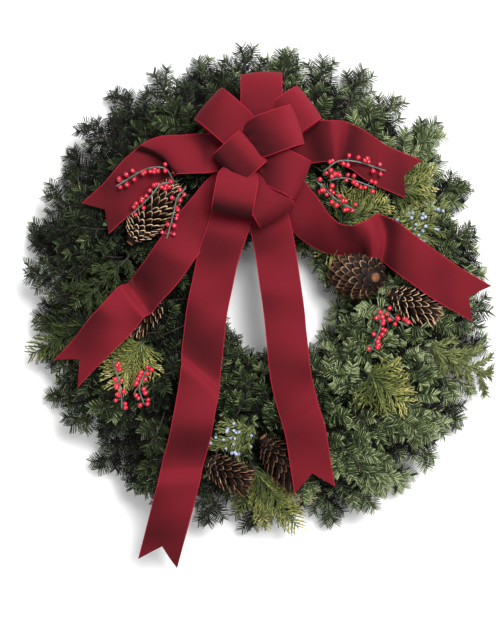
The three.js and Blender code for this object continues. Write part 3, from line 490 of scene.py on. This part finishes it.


# Each tail's middle line from the knot outwards, how far the two points of its swallowtail
# stand beyond its end, and how it is tilted about its line: distance and degrees. A shade below 0 paints
# the whole tail darker, as painted shade
TAILS = {
    "tail_upper_left": dict(
        line=[[-20, 166, 117], [-40, 170, 117], [-73, 171, 117], [-98, 169, 119], [-122, 167, 112],
              [-140, 160, 107], [-158, 145, 108], [-180, 119, 108], [-195, 105.5, 106]],
        notch=21, shade=-0.16, tilt=[(0, 0), (60, 0), (105, 10), (125, -8), (180, 0)],
        folds=[(44, -6, 8, 20, 14), (104, 20, 15, 34, 4)]),
    "tail_lower_left": dict(
        line=[[-17.4, 161.6, 110], [-32, 146, 109], [-52, 124, 109], [-71, 100, 109], [-93, 74, 108.5],
              [-127, 26, 112], [-158, -4, 109], [-179, -28, 107], [-206, -58, 108], [-227, -80, 106]],
        notch=29, tilt=[(0, 0), (110, 0), (190, 10), (225, 22), (250, -10), (300, 20), (330, 32)],
        folds=[(90, -6, 5, 24, 24), (150, 8, 6, 24, 20), (222, -4, -13, 28, 4), (262, 6, 5, 24, 30)]),
    "tail_long_left": dict(
        line=[[-14.6, 159.8, 112], [-23, 140, 112], [-34.5, 115, 112], [-44.5, 81, 112],
              [-56.5, 46, 112.8], [-64.5, 10, 108], [-71.5, -24, 102.5], [-75.5, -60, 106],
              [-78, -93, 110], [-82, -125, 110], [-93, -182, 109], [-108, -243, 106],
              [-121, -292, 92], [-127.5, -316, 80]],
        notch=31.5, tilt=[(0, 0), (200, 0), (265, -10), (300, 6), (385, -8), (430, 0)],
        folds=[(90, 6, 6, 30, 24), (190, -8, 5, 36, 30), (268, -18, -11, 34, 8),
               (332, 6, 7, 30, 30), (392, 8, -10, 38, 12)]),
    "tail_long_right": dict(
        line=[[-9, 159, 117], [-4, 136, 117], [0, 109, 116], [8, 78, 116], [14, 46, 114],
              [24, -24, 113], [27, -55, 113], [33, -106, 114], [41, -141, 114], [50, -170, 112],
              [58.5, -221, 109]],
        notch=25, tilt=[(0, 0), (120, 4), (200, -4), (300, 5), (380, 0)],
        folds=[(110, 8, -6, 26, 20), (160, -8, 6, 30, 26), (240, -8, 6, 34, 30), (305, 8, -8, 30, 12)]),
    "tail_right": dict(
        line=[[-6.5, 161.8, 110], [8, 148, 109], [26, 128, 109], [41, 108, 109], [66, 79, 109],
              [87, 67, 110], [107, 66, 112], [127, 69, 114], [149, 66, 112], [172, 50, 108],
              [198, 31, 107], [229, 9.5, 105], [251, -3, 102]],
        notch=23, tilt=[(0, 0), (80, 14), (115, 34), (150, 46), (178, 30), (205, 8), (300, 0)],
        folds=[(178, 4, 8, 22, 9), (200, 15, -13, 9, 12), (240, 4, 5, 24, 24)]),
    "tail_upper_right": dict(
        line=[[-4, 168, 117], [20, 178, 114], [50, 184, 112], [76, 187, 115], [97, 186, 114],
              [117, 176, 108], [139, 160, 107], [169.5, 147, 106]],
        notch=17, shade=-0.16, tilt=[(0, 0), (70, 0), (100, 14), (120, -12), (170, 0)],
        folds=[(92, 2, 9, 22, 8), (110, 5, -10, 9, 12), (150, -4, 4, 18, 18)]),
}
# Each loop: where it starts, the way it points, its length, height, lean out of the face
LOOPS = [
    dict(base=(-4, 170, 118), turn=90, length=98, height=32, lean=4),
    dict(base=(-14, 184, 118), turn=35, length=86, height=32, lean=4),
    dict(base=(-6, 175, 120), turn=139, length=86, height=34, lean=8),
    dict(base=(-24, 158, 118), turn=301, length=80, height=32, lean=8),
    dict(base=(-12, 164, 121), turn=-26, length=69, height=32, lean=12),
    dict(base=(-28, 164, 124), turn=260, length=73, height=32, lean=12),
    dict(base=(-36, 177, 128), turn=19, length=84, height=32, lean=12),
]
# A loop from the side: shares of its length and of its height
LOOP_OUTLINE = [
    [0.1, 0], [0.3, -0.1], [0.62, -0.12], [0.9, 0.04], [1, 0.42],
    [0.9, 0.86], [0.6, 1], [0.3, 0.76], [0.1, 0.4],
]
# The small loop over the middle, which hides the pinch
MIDDLE_LOOP = dict(base=(-13, 178, 138), turn=222, length=42, height=26, lean=-8)
MIDDLE_OUTLINE = [
    [0.3, 0], [0.6, -0.1], [0.92, 0], [1.04, 0.4], [0.94, 0.82],
    [0.6, 1], [0.22, 1.02], [-0.02, 0.8], [0, 0.3], [0.2, 0.05],
]
# The gathered folds over the pinch: their heights, and their radius at the foot and at the top
GATHERS = [(98, 122, 6.6, 8.0), (120, 146, 15.0, 9.0)]
covers = []  # grids of points that the greenery stays under
under = {}  # and the tree of their faces


def turned(ahead, degrees):
    """Level cross directions tilted about the line that they belong to."""
    ways, turn = beside(ahead), np.radians(degrees)[:, None]
    return ways * np.cos(turn) + np.cross(ahead, ways) * np.sin(turn)


def build_tails():
    for name, tail in TAILS.items():
        line = smooth_line(tail["line"], 2.0)
        run = run_of(line)
        length = run[-1]
        ahead = tangents(line)
        tilt = softened(np.interp(run, *zip(*tail["tilt"])), 8)
        neck = min(0.5, 60 / length)
        notch = tail["notch"]
        mould = Mould()
        covers.append(ribbon(
            mould, line, lambda t: opened(t / neck), turned(ahead, tilt), 1.4, 1.3,
            ends=(notch, 4, notch), folds=tail["folds"], curled=0.3, shade=tail.get("shade", 0.0)))
        piece = mould.build(f"{name}_ribbon", [VELVET])
        finish_cloth(piece, name)


def loop_line(outline, base, turn, length, height, lean):
    outward, tilt = polar(turn, 1, 0), math.radians(lean)
    points = [np.array(base, float)
              + outward * (u * length * math.cos(tilt) - v * height * math.sin(tilt))
              + UP * (u * length * math.sin(tilt) + v * height * math.cos(tilt)) for u, v in outline]
    return smooth_line(points, 2.0)


def build_bow():
    mould = Mould()

    def wind(outline, loop, width_at, cup, sway):
        line = loop_line(outline, **loop)
        ways = np.broadcast_to(polar(loop["turn"] + 90, 1, 0), line.shape)
        covers.append(ribbon(mould, line, width_at, ways, cup, sway))
        return run_of(line)[-1]

    total = 0.0
    for loop in LOOPS:
        total += wind(LOOP_OUTLINE, loop, lambda t: opened(np.minimum(t, 1 - t) / 0.22), 2.0, 1.1)
    total += wind(MIDDLE_OUTLINE, MIDDLE_LOOP, lambda t: RIBBON_WIDTH + 0 * t, 0.8, 0.3)
    turn = np.linspace(0, 2 * math.pi, 65)
    rows = np.linspace(0, 1, 9)[:, None]
    for low_z, high_z, inner, outer in GATHERS:
        radius = (inner + (outer - inner) * rows) * (1 + 0.1 * np.cos(turn * 9 + rows * 2))
        radius = radius * (1 - rows**8 * 0.6)
        points = np.stack([KNOT[0] + radius * np.cos(turn), KNOT[1] + radius * np.sin(turn),
                           low_z + (high_z - low_z) * rows + 0 * turn], axis=-1)
        mould.add(points, [grid_quads(*radius.shape)],
                  u=np.full(radius.size, 0.5), v=np.broadcast_to(turn, radius.shape).ravel())
    piece = mould.build("bow_loops_ribbon", [VELVET])
    finish_cloth(piece, "bow_loops")


# ---- pine cones ----
# crowd, wide, lean and tan: how far apart the scales are, how wide, how much the lowest ones
# point to the tip, and how pale their lips are
CONES = [
    dict(base=[-168, 62, 88], tip=[-118, 136, 94], radius=29),
    dict(base=[-128, -4, 84], tip=[-168, -46, 84], radius=23, tan=0.9),
    dict(base=[137, 18, 120], tip=[103, 28, 62], radius=35, crowd=15, wide=0.4, lean=0, tan=0.8),
    dict(base=[156, 0, 91], tip=[214, -27, 88], radius=24),
    dict(base=[-76, -210, 84], tip=[-24, -238, 88], radius=24, tan=0.75),
    dict(base=[-2, -182, 82], tip=[40, -236, 84], radius=27, tan=0.62),
]
GOLDEN = math.radians(137.508)


def cone_scale():
    """One woody scale along +X with its outer face up: a tongue with a thick raised lip."""
    points, faces = sphere(12, 8)
    x, y, z = points.T
    t = (x + 1) / 2
    spread = 0.42 + 0.62 * t**0.8
    thick = 0.09 + 0.14 * np.clip((t - 0.55) / 0.45, 0, 1)
    bump = 0.14 * np.exp(-((t - 0.9) / 0.08) ** 2) * (1 - abs(y))
    shape = np.stack([t, y * spread * 0.5 * (1 - 0.4 * t**6), z * thick + 0.22 * t**2 + bump], axis=1)
    rim = np.hypot(np.maximum(t - 0.42, 0) / 0.58, y * np.clip(t * 2, 0, 1))
    lip = np.clip((rim - 0.8) / 0.2, 0, 1) * np.clip((t - 0.5) / 0.2, 0, 1)
    return shape, faces, lip


def bellied(radius, root, count):
    """The radii along a cone, which is thickest below its middle."""
    return [radius * math.sin(math.pi * (root + 0.7 * t)) for t in np.linspace(0, 1, count)]


def pressed_down(tree, points):
    """A scale gives way under the ribbon that lies on it."""
    for point in points:
        hit = tree.ray_cast(Vector(point), DOWN, 16.0)[0]
        if hit is not None:
            point[2] = hit.z - 0.8
    return points


def build_cones():
    cloth = cover_tree(with_cones=False)
    shape, faces, lip = cone_scale()
    for index, cone in enumerate(CONES):
        start, end, radius = np.array(cone["base"], float), np.array(cone["tip"], float), cone["radius"]
        axis = end - start
        length = float(np.linalg.norm(axis))
        axis /= length
        side = unit(np.array([-axis[1], axis[0], 0.0]))
        other = np.cross(axis, side)
        mould = Mould()
        core = [start + axis * length * t for t in np.linspace(0.02, 0.94, 9)]
        tube(mould, core, bellied(radius * 0.42, 0.24, 9), 10, lip=0.1)
        scar = start - axis * 1.5
        tube(mould, [scar, scar + axis * 4], radius * 0.17, 9, lip=0.62)
        count = round(length * radius / cone.get("crowd", 12.5))
        for k in range(count):
            t = (k + 0.5) / count
            turn = k * GOLDEN
            out = math.cos(turn) * side + math.sin(turn) * other
            body = math.sin(math.pi * min(1, 0.17 + 0.74 * t)) ** 0.75
            reach = radius * body
            lean = math.radians(cone.get("lean", 14) + 58 * t + rng.uniform(-5, 5))
            ahead = out * math.cos(lean) + axis * math.sin(lean)
            across = np.cross(axis, out)
            top = np.cross(ahead, across)
            size = reach * 0.86 / max(math.cos(lean), 0.45) * min(1.0, 0.5 + 6 * t)
            size *= 1.0 if t < 0.8 else 0.8
            wide = radius * cone.get("wide", 0.36) * (0.5 + 0.5 * body)
            foot = start + axis * length * (0.04 + 0.84 * t) + out * reach * 0.12
            local = shape * np.array([size, wide, radius * 0.26])
            points = foot + local[:, :1] * ahead + local[:, 1:2] * across + local[:, 2:] * top
            pale = cone.get("tan", 1.0) * (0.7 + 0.4 * chance(index, k))
            mould.add(pressed_down(cloth, points), faces, lip=lip * pale)
        name = f"pine_cone_{index + 1:02d}"
        stand_for(mould.build(f"{name}_scales", [CONE]), name)


# ---- picks and sprays ----
# Each pick: its bundle, how many berries, and its stem where it lies on the foliage
PICKS = [
    (6, 13, [[-112, 138, 115], [-122, 152, 124], [-142, 153, 122], [-184, 131, 114]]),
    (7, 11, [[-114, 135, 119], [-128, 133, 121], [-139, 120, 122], [-163, 97, 119]]),
    (7, 9, [[-98, 128, 118], [-108, 116, 120], [-112, 98, 120], [-121, 66, 117]]),
    (4, 10, [[74, 150, 121], [90, 161, 125], [112, 161, 123], [150, 150, 117]]),
    (3, 13, [[64, 138, 119], [78, 124, 119], [92, 112, 119], [114, 101, 115]]),
    (3, 11, [[80, 138, 120], [98, 141, 120], [117, 136, 119], [136, 129, 116]]),
    (17, 12, [[140, -24, 106], [144, -40, 112], [138, -58, 112], [133, -72, 108]]),
    (17, 7, [[152, -24, 104], [162, -34, 110], [178, -42, 106]]),
    (11, 12, [[-142, -92, 106], [-150, -104, 112], [-155, -120, 112], [-149, -140, 107]]),
    (10, 10, [[-188, -88, 104], [-182, -104, 112], [-178, -122, 111], [-177, -144, 106]]),
]
# Each spray: its bundle and its stem
SPRAYS = {
    "cedar_upper_right": (2, [[92, 84, 96], [124, 98, 97], [156, 112, 95]]),
    "cedar_right": (2, [[158, 124, 92], [182, 132, 93], [208, 138, 90]]),
    "cedar_hole": (1, [[108, 86, 92], [90, 64, 89], [76, 46, 84]]),
    "cedar_lower_right": (16, [[130, -102, 94], [152, -122, 96], [178, -140, 92]]),
    "cedar_lower_left": (10, [[-152, -62, 94], [-170, -90, 95], [-188, -120, 90]]),
    "cedar_left": (9, [[-214, -38, 78], [-256, -58, 66], [-300, -80, 48]]),
    "cedar_bottom": (13, [[-12, -222, 86], [16, -262, 76], [44, -300, 56]]),
    "juniper_right": (2, [[150, 70, 98], [178, 78, 98], [208, 86, 94]]),
    "juniper_bottom": (14, [[-14, -166, 88], [-38, -182, 90], [-62, -200, 88]]),
    "juniper_left": (8, [[-172, 42, 92], [-198, 18, 92], [-224, -8, 84]]),
    "juniper_lower_right": (17, [[208, -70, 76], [246, -88, 64], [288, -106, 48]]),
}
JUNIPER_BERRIES = {"juniper_right": 30, "juniper_bottom": 32}
CEDAR_TONE = {"cedar_left": 0.02, "cedar_lower_left": 0.34, "cedar_lower_right": 0.26}
seats_taken = [int(bundle in CONE_SEATS) for bundle in range(BUNDLES)]


def rising_line(seat, line, spacing):
    """A stem from its seat on a bundle up to where it lies on top, and where that starts."""
    share = seats_taken[seat]
    seats_taken[seat] += 1
    aside = 1.9 if share % 2 else -1.9
    foot = polar(PITCH * seat - 5.8 + share * 1.3, RING_RADIUS + aside, SEAT_HEIGHT)
    first = np.array(line[0], float)
    bend = foot + (first - foot) * 0.7
    points = [foot, foot + UP * 16, np.array([bend[0], bend[1], first[2] * 0.72]), *line]
    whole = smooth_line(points, spacing)
    return whole, int(np.argmin(np.linalg.norm(whole - first, axis=1)))


BALL = sphere(10, 7)


def berry(mould, centre, radius, out, skin, eye=None):
    """A berry with its dark dried eye on the side away from its stalk."""
    points, faces = BALL
    mould.add(centre + points * radius, faces, kind=skin)
    if eye is not None:
        mould.add(centre + out * radius * 0.86 + points * radius * 0.26, faces, kind=eye)


def build_picks():
    for index, (seat, berries, top) in enumerate(PICKS):
        line, first = rising_line(seat, top, 2.0)
        mould = Mould()
        tube(mould, line, np.linspace(1.3, 0.8, len(line)), 6, kind=0)
        ahead = tangents(line)
        count = round(berries * 1.35)
        for k in range(count):
            at = first + (len(line) - 1 - first) * min(0.99, (k + rng.uniform(-0.3, 1.1)) / count)
            i = min(len(line) - 1, max(first, int(at)))
            across = beside(ahead[i], rng.choice([-1, 1]))
            out = unit(across * rng.uniform(0.5, 1.1) + UP * rng.uniform(0.2, 1.0)
                       + ahead[i] * rng.uniform(0.0, 0.6))
            size = BERRY_RADIUS * rng.uniform(0.86, 1.08)
            stalk = rng.uniform(0.8, 5.0)
            centre = line[i] + out * (stalk + size)
            centre[2] = min(centre[2], BERRY_TOP)
            tube(mould, np.linspace(line[i], centre, 4), 0.45, 4, kind=0)
            berry(mould, centre, size, out, 1, 2)
        name = f"berry_pick_{index + 1:02d}"
        stand_for(mould.build(f"{name}_stems", [STEM, BERRY, CALYX], which="kind"), name)


def beyond_part(points):
    """Which points lie outside the part's own box and its slack."""
    points = np.asarray(points)
    outside = (points < BOX_LOW - BOX_SLACK) | (points > BOX_HIGH + BOX_SLACK)
    return outside.any(axis=-1)


def within_part(line):
    """A stem's line, cut where it would leave the part's own box."""
    out = np.nonzero(beyond_part(line))[0]
    return line if not len(out) else line[:max(out[0], 2)]


def over_covers(points):
    """Which points stand over a ribbon or a cone, or pass through one."""
    hidden = [under["tree"].ray_cast(Vector(p) - DOWN * 3, DOWN, 90.0)[0] is not None for p in points]
    return np.array(hidden) | beyond_part(points)


def strand(mould, line, width, tone):
    """A cedar branchlet: overlapping scale leaves make a flat beaded strand."""
    if over_covers(line[[0, len(line) // 2, -1]]).any():
        return
    count = len(line)
    ahead = tangents(line)
    side = beside(ahead)
    top = np.cross(side, ahead)
    t = np.linspace(0, 1, count)
    bead = np.where(np.arange(count) % 2, 1.15, 0.8)[:, None]
    half = width / 2 * (1 - 0.5 * t**2)[:, None] * bead
    points = np.stack([line + top * half * 0.5, line + side * half,
                       line - top * half * 0.3, line - side * half], axis=1)
    cap = np.array([[0, 1, 2, 3]]) + (count - 1) * 4
    mould.add(points, [tube_quads(count, 4), cap], tone=tone, age=np.repeat(t, 4), kind=0)


def frond(mould, line, reach, tone):
    """A flat cedar frond: branchlets to both sides, each with its own smaller ones."""
    length = run_of(line)[-1]
    strand(mould, line, 2.6, tone - 0.1)
    ahead = tangents(line)
    for k, s in enumerate(np.arange(5.0, length - 2, 3.6)):
        i = min(len(line) - 1, int(s / length * (len(line) - 1)))
        side = beside(ahead[i], 1 if k % 2 else -1)
        long = reach * (1 - (s / length) ** 2 * 0.75) * rng.uniform(0.8, 1.1)
        way = fork(ahead[i], side, rng.uniform(30, 42))
        t = np.linspace(0, 1, 8)[:, None]
        bow = ahead[i] * long * 0.18 * t**2 + UP * rng.uniform(-4, 3) * t**2
        branch = line[i] + way * long * t + bow
        golden = tone - 0.16 + 0.34 * (s / length) ** 1.5
        strand(mould, branch, 2.0, golden + rng.uniform(-0.1, 0.1))
        for j, q in enumerate(np.arange(3.0, long - 1, 2.7)):
            m = min(7, int(q / long * 7))
            small = long * 0.36 * (1 - q / long * 0.6) * rng.uniform(0.7, 1.1)
            onward = unit(way * 0.8 + side * 0.62 if j % 2 else way * 0.86 + ahead[i] * 0.55)
            tip = branch[m] + onward * small * np.linspace(0, 1, 5)[:, None]
            strand(mould, tip, 1.7, golden + 0.16 * q / long + rng.uniform(-0.1, 0.2))


def shelter(line, reach):
    """The fir stays under a spray that lies on it."""
    across = beside(tangents(line))
    covers.append(np.stack([line - across * reach, line, line + across * reach], axis=1) - UP * 3)


def build_cedar(name, seat, top):
    line, first = rising_line(seat, top, 3.0)
    mould = Mould()
    tube(mould, line[:first + 2], 1.5, 6, **WOOD)
    top = line[first:]
    tone = CEDAR_TONE.get(name, 0.2)
    frond(mould, top, 42.0, tone)
    shelter(top, 24.0)
    for aim, share in ((-26, 0.86), (26, 0.9), (-54, 0.66), (52, 0.7)):
        c, s = math.cos(math.radians(aim)), math.sin(math.radians(aim))
        spin = np.array([[c, -s, 0], [s, c, 0], [0, 0, 1]])
        aside = top[0] + (top - top[0]) @ spin.T * share - UP * 5 * np.linspace(0, 1, len(top))[:, None]
        frond(mould, aside, 28.0, tone + rng.uniform(-0.12, 0.12))
    return mould, [CEDAR, BARK]


def build_juniper(name, seat, top):
    line, first = rising_line(seat, top, 2.5)
    mould = Mould()
    tube(mould, within_part(line), 1.4, 6, **WOOD)
    shelter(line[first:], 20.0)
    ahead = tangents(line)
    stems = [line[first:]]
    for k in range(9):
        i = first + int((len(line) - 1 - first) * (k + 0.3) / 9)
        side = beside(ahead[i], 1 if k % 2 else -1)
        way = fork(ahead[i], side, rng.uniform(28, 52))
        t = np.linspace(0, 1, 9)[:, None]
        stems.append(line[i] + way * rng.uniform(24, 38) * t + UP * rng.uniform(-3, 6) * t)
    for stem in map(within_part, stems):
        tube(mould, stem, 0.8, 4, **WOOD)
        length = run_of(stem)[-1]
        count = int(length * 2.6)
        place = along(stem, rng.uniform(0, length, count))
        way = unit(stem[-1] - stem[0])
        random = rng.normal(size=(count, 3))
        out = unit(random - (random @ way)[:, None] * way)
        aim = unit(way * 0.75 + out * 0.65)
        long = rng.uniform(7, 11, count)
        tone = (-0.1 if name == "juniper_left" else 0.3) + rng.uniform(-0.15, 0.3, count)
        keep = ~over_covers(place + aim * long[:, None])
        place, aim, long, tone = place[keep], aim[keep], long[keep], tone[keep]
        blades(mould, place, aim, long, 1.4, UP + 0 * aim, tone=tone, kind=0)
    for _ in range(JUNIPER_BERRIES.get(name, 0)):
        stem = stems[rng.integers(len(stems))]
        spot = along(stem, rng.uniform(0.2, 0.9) * run_of(stem)[-1])
        out = unit(np.array([*rng.normal(size=2) * 0.7, 1.0]))
        if not over_covers([spot + out * 5.5])[0]:
            berry(mould, spot + out * 5.5, rng.uniform(1.8, 2.5), out, 2)
    return mould, [JUNIPER, BARK, JUNIPER_BERRY]


def build_sprays():
    under["tree"] = cover_tree()
    for name, (seat, top) in SPRAYS.items():
        kind = name.split("_")[0]
        build = build_cedar if kind == "cedar" else build_juniper
        mould, materials = build(name, seat, top)
        stand_for(mould.build(f"{name}_spray", materials, which="kind"), name)


# ---- fir ----
# Each twig of a bundle: degrees it swings, how far it reaches past a list's number, its tip's
# height, its rise. The first ones lie where the part has them.
PART_TWIGS = 6
RIM_TWIGS = (6, 7)
RING = [0] * BUNDLES
TWIGS = [
    (6, OUTER_REACH, 0, 26, 4), (16, OUTER_REACH, -8, 62, 16), (12, RING, 243, 90, 8),
    (25, RING, 184, 90, 8), (14, RING, 126, 86, 8), (8, INNER_REACH, 0, 38, 8),
    (11, OUTER_REACH, -12, 44, 10), (2, OUTER_REACH, -22, 74, 14), (19, RING, 268, 88, 10),
    (5, RING, 214, 94, 6), (20, RING, 150, 92, 8), (18, INNER_REACH, 8, 60, 10),
    (2, INNER_REACH, 26, 84, 6), (9, RING, 244, 34, 10), (20, RING, 236, 58, 8),
]


def twig_line(bundle, kind):
    turn, reaches, past, end, rise = TWIGS[kind]
    reach = reaches[bundle] + past
    if kind < PART_TWIGS:
        turn += around(bundle, kind, 1.4)
        reach += around(bundle, kind + 10, 5)
        end += around(bundle, kind + 20, 4)
    else:
        turn += rng.uniform(-3, 3)
        reach += rng.uniform(-36 if kind in RIM_TWIGS else -16, 12)
        end += rng.uniform(-6, 4)
    start, root_z = 4.0, STUB_HEIGHT + 1.5
    points = []
    for t in (0, 0.12, 0.35, 0.65, 1):
        swing = 1 - (1 - t) ** 2
        height = root_z + (end - root_z) * math.sin(t * math.pi / 2) + rise * math.sin(t * math.pi)
        points.append(polar(bundle * PITCH + start + (turn - start) * swing,
                            RING_RADIUS + (reach - RING_RADIUS) * t**1.5, height))
    return smooth_line(points, 3.0)


def cover_tree(with_cones=True):
    """What lies on the foliage, to keep twigs and needles under it."""
    mould = Mould()
    for grid in covers:
        mould.add(grid, [grid_quads(*grid.shape[:2])])
    for cone in CONES if with_cones else ():
        core = np.linspace(cone["base"], cone["tip"], 7)
        tube(mould, core, bellied(cone["radius"] * 0.95, 0.2, 7), 10)
    faces = [face for sets in mould.faces.values() for rows in sets for face in rows.tolist()]
    return BVHTree.FromPolygons([Vector(p) for p in np.vstack(mould.points)], faces)


def under_covers(tree, line, gap):
    """Bends a line down where something lies on the foliage above it."""
    line = line.copy()
    drop = np.zeros(len(line))
    for k, (x, y, z) in enumerate(line):
        hit = tree.ray_cast(Vector((x, y, 400.0)), DOWN)[0]
        lowest = None
        while hit is not None and (lowest is None or hit.z > FOLIAGE_TOP):
            lowest = hit.z
            hit = tree.ray_cast(Vector((x, y, lowest - 3.0)), DOWN)[0]
        if lowest is not None:
            drop[k] = max(0.0, z - (lowest - gap))
    if drop.any():
        wide = np.array([drop[max(0, k - 6):k + 7].max() for k in range(len(drop))])
        line[:, 2] -= softened(wide, 4)
        line[:, 2] = np.maximum(line[:, 2], 12.0)
    return line


# Rows of needles to each side of a twig: degrees over its spray's plane, share of the
# length, share of the number
NEEDLE_ROWS = [(2, 1.0, 1.15), (24, 0.96, 1.0), (54, 0.74, 0.25)]
NEEDLE_SPACING = 2.15
NEEDLE_WIDTH = 1.1
TWIG_NEEDLE = 14.5  # a needle's length on a twig
SHOOT_NEEDLE = 12.5  # and on a side shoot


def needle_rows(line, length, tone, bare=3.0):
    """Needles combed to both sides of a twig: their feet, ways, lengths and tones."""
    total = run_of(line)[-1]
    count = max(3, int((total - bare) / NEEDLE_SPACING))
    parts = []
    for hand in (-1, 1):
        for rise, share, crowd in NEEDLE_ROWS:
            few = max(2, round(count * crowd))
            s = bare + (np.arange(few) + rng.random()) * (total - bare) / few + rng.normal(0, 0.12, few)
            parts.append(np.stack([s, np.full(few, hand), np.full(few, rise), np.full(few, share)]))
    s, hand, rise, share = np.concatenate(parts, axis=1)
    s = np.clip(s, 0, total)
    near_tip = np.clip((s - (total - 11)) / 11, 0, 1)
    ahead = unit(along(line, np.minimum(s + 2.0, total)) - along(line, np.maximum(s - 2.0, 0)))
    side = beside(ahead)
    top = np.cross(side, ahead)
    turn = np.radians(rise + rng.normal(0, 4, len(s)))
    out = side * (np.cos(turn) * hand)[:, None] + top * np.sin(turn)[:, None]
    lean = np.radians(rng.normal(64, 3, len(s)) * (1 - 0.4 * near_tip))
    aim = unit(ahead * np.cos(lean)[:, None] + out * np.sin(lean)[:, None])
    long = length * share * rng.uniform(0.9, 1.08, len(s))
    long = long * (1 - 0.28 * near_tip) * np.clip(0.6 + s / 12, 0, 1)
    # Needles near the twig's tip are lighter; those in the top row are painted lighter too, as painted
    # light on the spray's upper side
    tones = tone + rng.uniform(-0.16, 0.18, len(s)) + 0.1 * near_tip + 0.07 * (rise > 30)
    return along(line, s), aim, long, tones


def side_shoots(line, kind):
    """Shoots to both sides of a twig, longest at its root, as on a flat fir spray."""
    total = run_of(line)[-1]
    shoots = []
    for k, s in enumerate(np.arange(total * 0.32, total - 12, 14.5)):
        root = along(line, s)
        ahead = unit(along(line, min(s + 3, total)) - along(line, max(s - 3, 0)))
        side = beside(ahead, 1 if (k + kind) % 2 else -1)
        length = min(44, 13 + 0.36 * (total - s)) * rng.uniform(0.8, 1.15)
        way = fork(ahead, side, rng.uniform(38, 50)) + UP * rng.uniform(-0.14, 0.08)
        t = np.linspace(0, 1, 7)[:, None]
        shoots.append(root + way * length * t + ahead * length * 0.22 * t**2)
    return shoots


def clear_needles(tree, base, aim, long):
    """Which needles neither run into nor lie over the ribbons and cones."""
    keep = ~beyond_part(base + aim * long[:, None])
    for k in np.nonzero(keep)[0]:
        start, way, reach = Vector(base[k]), Vector(aim[k]), float(long[k])
        tip = start + way * reach
        into = tree.ray_cast(start, way, reach + 1.5)[0] is not None
        over = tip.z > FOLIAGE_TOP and tree.ray_cast(tip, DOWN, 70.0)[0] is not None
        keep[k] = not (into or over)
    return keep


CELL = 9.0  # the size of the squares in which needles are compared


def painted_depth_shade(tips):
    """How deep each needle lies under its bundle's outermost ones, from 0 to 1, for the painted shade of
    the deeper needles.
    """
    cell = np.floor(tips[:, :2] / CELL).astype(int)
    cell -= cell.min(axis=0)
    place = cell[:, 0] * (cell[:, 1].max() + 1) + cell[:, 1]
    top = np.full(place.max() + 1, -1e9)
    np.maximum.at(top, place, tips[:, 2])
    return np.clip((top[place] - tips[:, 2] - 2.5) / 18, 0, 1)


def build_fir():
    tree = cover_tree()
    for bundle in range(BUNDLES):
        mould = Mould()
        turn = bundle * PITCH
        # Painted side light: the boughs on the right are painted lighter and those on the left darker, as
        # though lit from the right
        painted_side_light = np.clip(0.4 + 0.8 * math.cos(math.radians(turn + 16)), 0, 1)
        # The cut stems in their clamp
        for k in range(7):
            ring = polar(k * 60, 5.4 if k else 0.0, 0)
            shift = polar(turn, 1, 0) * ring[0] + UP * ring[1]
            stem = [polar(turn + a, RING_RADIUS, STUB_HEIGHT) + shift for a in (-7, -3.5, 0, 3.5, 6)]
            tube(mould, stem, 2.9, 7, **WOOD)
        rows = []
        for kind in range(len(TWIGS)):
            line = within_part(under_covers(tree, twig_line(bundle, kind), 8.0))
            # Each twig's tone: a random tone plus the painted side light
            light = 0.08 + 0.25 * painted_side_light + rng.uniform(-0.1, 0.12)
            tube(mould, line, np.linspace(2.2, 0.9, len(line)), 5, **WOOD)
            rows.append(needle_rows(line, TWIG_NEEDLE, light, run_of(line)[-1] * 0.3))
            for shoot in side_shoots(line, kind):
                shoot = within_part(under_covers(tree, shoot, 7.0))
                tube(mould, shoot, np.linspace(1.1, 0.6, len(shoot)), 4, **WOOD)
                rows.append(needle_rows(shoot, SHOOT_NEEDLE, light + rng.uniform(-0.06, 0.12)))
        needles = [np.concatenate(part) for part in zip(*rows)]
        keep = clear_needles(tree, *needles[:3])
        base, aim, long, tone = (part[keep] for part in needles)
        # Painted shade: needles that lie deeper under the outermost ones are painted darker
        tone = tone - 0.8 * painted_depth_shade(base + aim * long[:, None])
        up = unit(UP + rng.normal(0, 0.2, base.shape))
        blades(mould, base, aim, long, NEEDLE_WIDTH, up, tone=tone, kind=0)
        name = f"fir_bundle_{bundle + 1:02d}"
        stand_for(mould.build(f"{name}_twigs", [NEEDLE, BARK], which="kind"), name)


def finish_wires():
    """The ring, its clamps and the wires keep the part's own shape."""
    for name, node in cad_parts.items():
        if name == "clamp_ring":
            look, slot = ENAMEL, "ring_wire"
        elif name.startswith(("bow_wire", "cone_wire")):
            look, slot = FLORIST_WIRE, "florist_wire"
        else:
            continue
        node.data.materials.clear()
        node.data.materials.append(look)


# ---- the stage ----
def build_stage():
    bpy.ops.mesh.primitive_plane_add(size=9, location=(0, 0, -0.001))
    floor = bpy.context.active_object
    floor.name = "floor"
    floor.data.materials.append(two_tone("pale_floor", "#F4F4F4", "#FAFAFA", 3.0, 0.9))

    bpy.ops.object.camera_add(location=(-0.0125, -0.0085, 2.3), rotation=(0, 0, 0))
    camera = bpy.context.active_object
    camera.data.sensor_width = 36
    camera.data.lens = 101.7
    camera.data.clip_end = 50
    bpy.context.scene.camera = camera

    def lamp(name, place, size, power):
        bpy.ops.object.light_add(type="AREA", location=place)
        light = bpy.context.active_object
        light.name = name
        light.data.size = size
        light.data.energy = power
        light.rotation_euler = (-Vector(place)).to_track_quat("-Z", "Y").to_euler()

    lamp("key_light", (0.62, 0.75, 2.5), size=1.1, power=108)
    lamp("fill_light", (-1.0, -0.9, 2.6), size=2.4, power=16)
    world = bpy.context.scene.world or bpy.data.worlds.new("studio")
    bpy.context.scene.world = world
    world.use_nodes = True
    background = world.node_tree.nodes["Background"]
    background.inputs["Color"].default_value = (1, 1, 1, 1)
    background.inputs["Strength"].default_value = 0.45
    bpy.context.scene.view_settings.view_transform = "Standard"


build_tails()
build_bow()
build_cones()
build_picks()
build_sprays()
build_fir()
finish_wires()
build_stage()
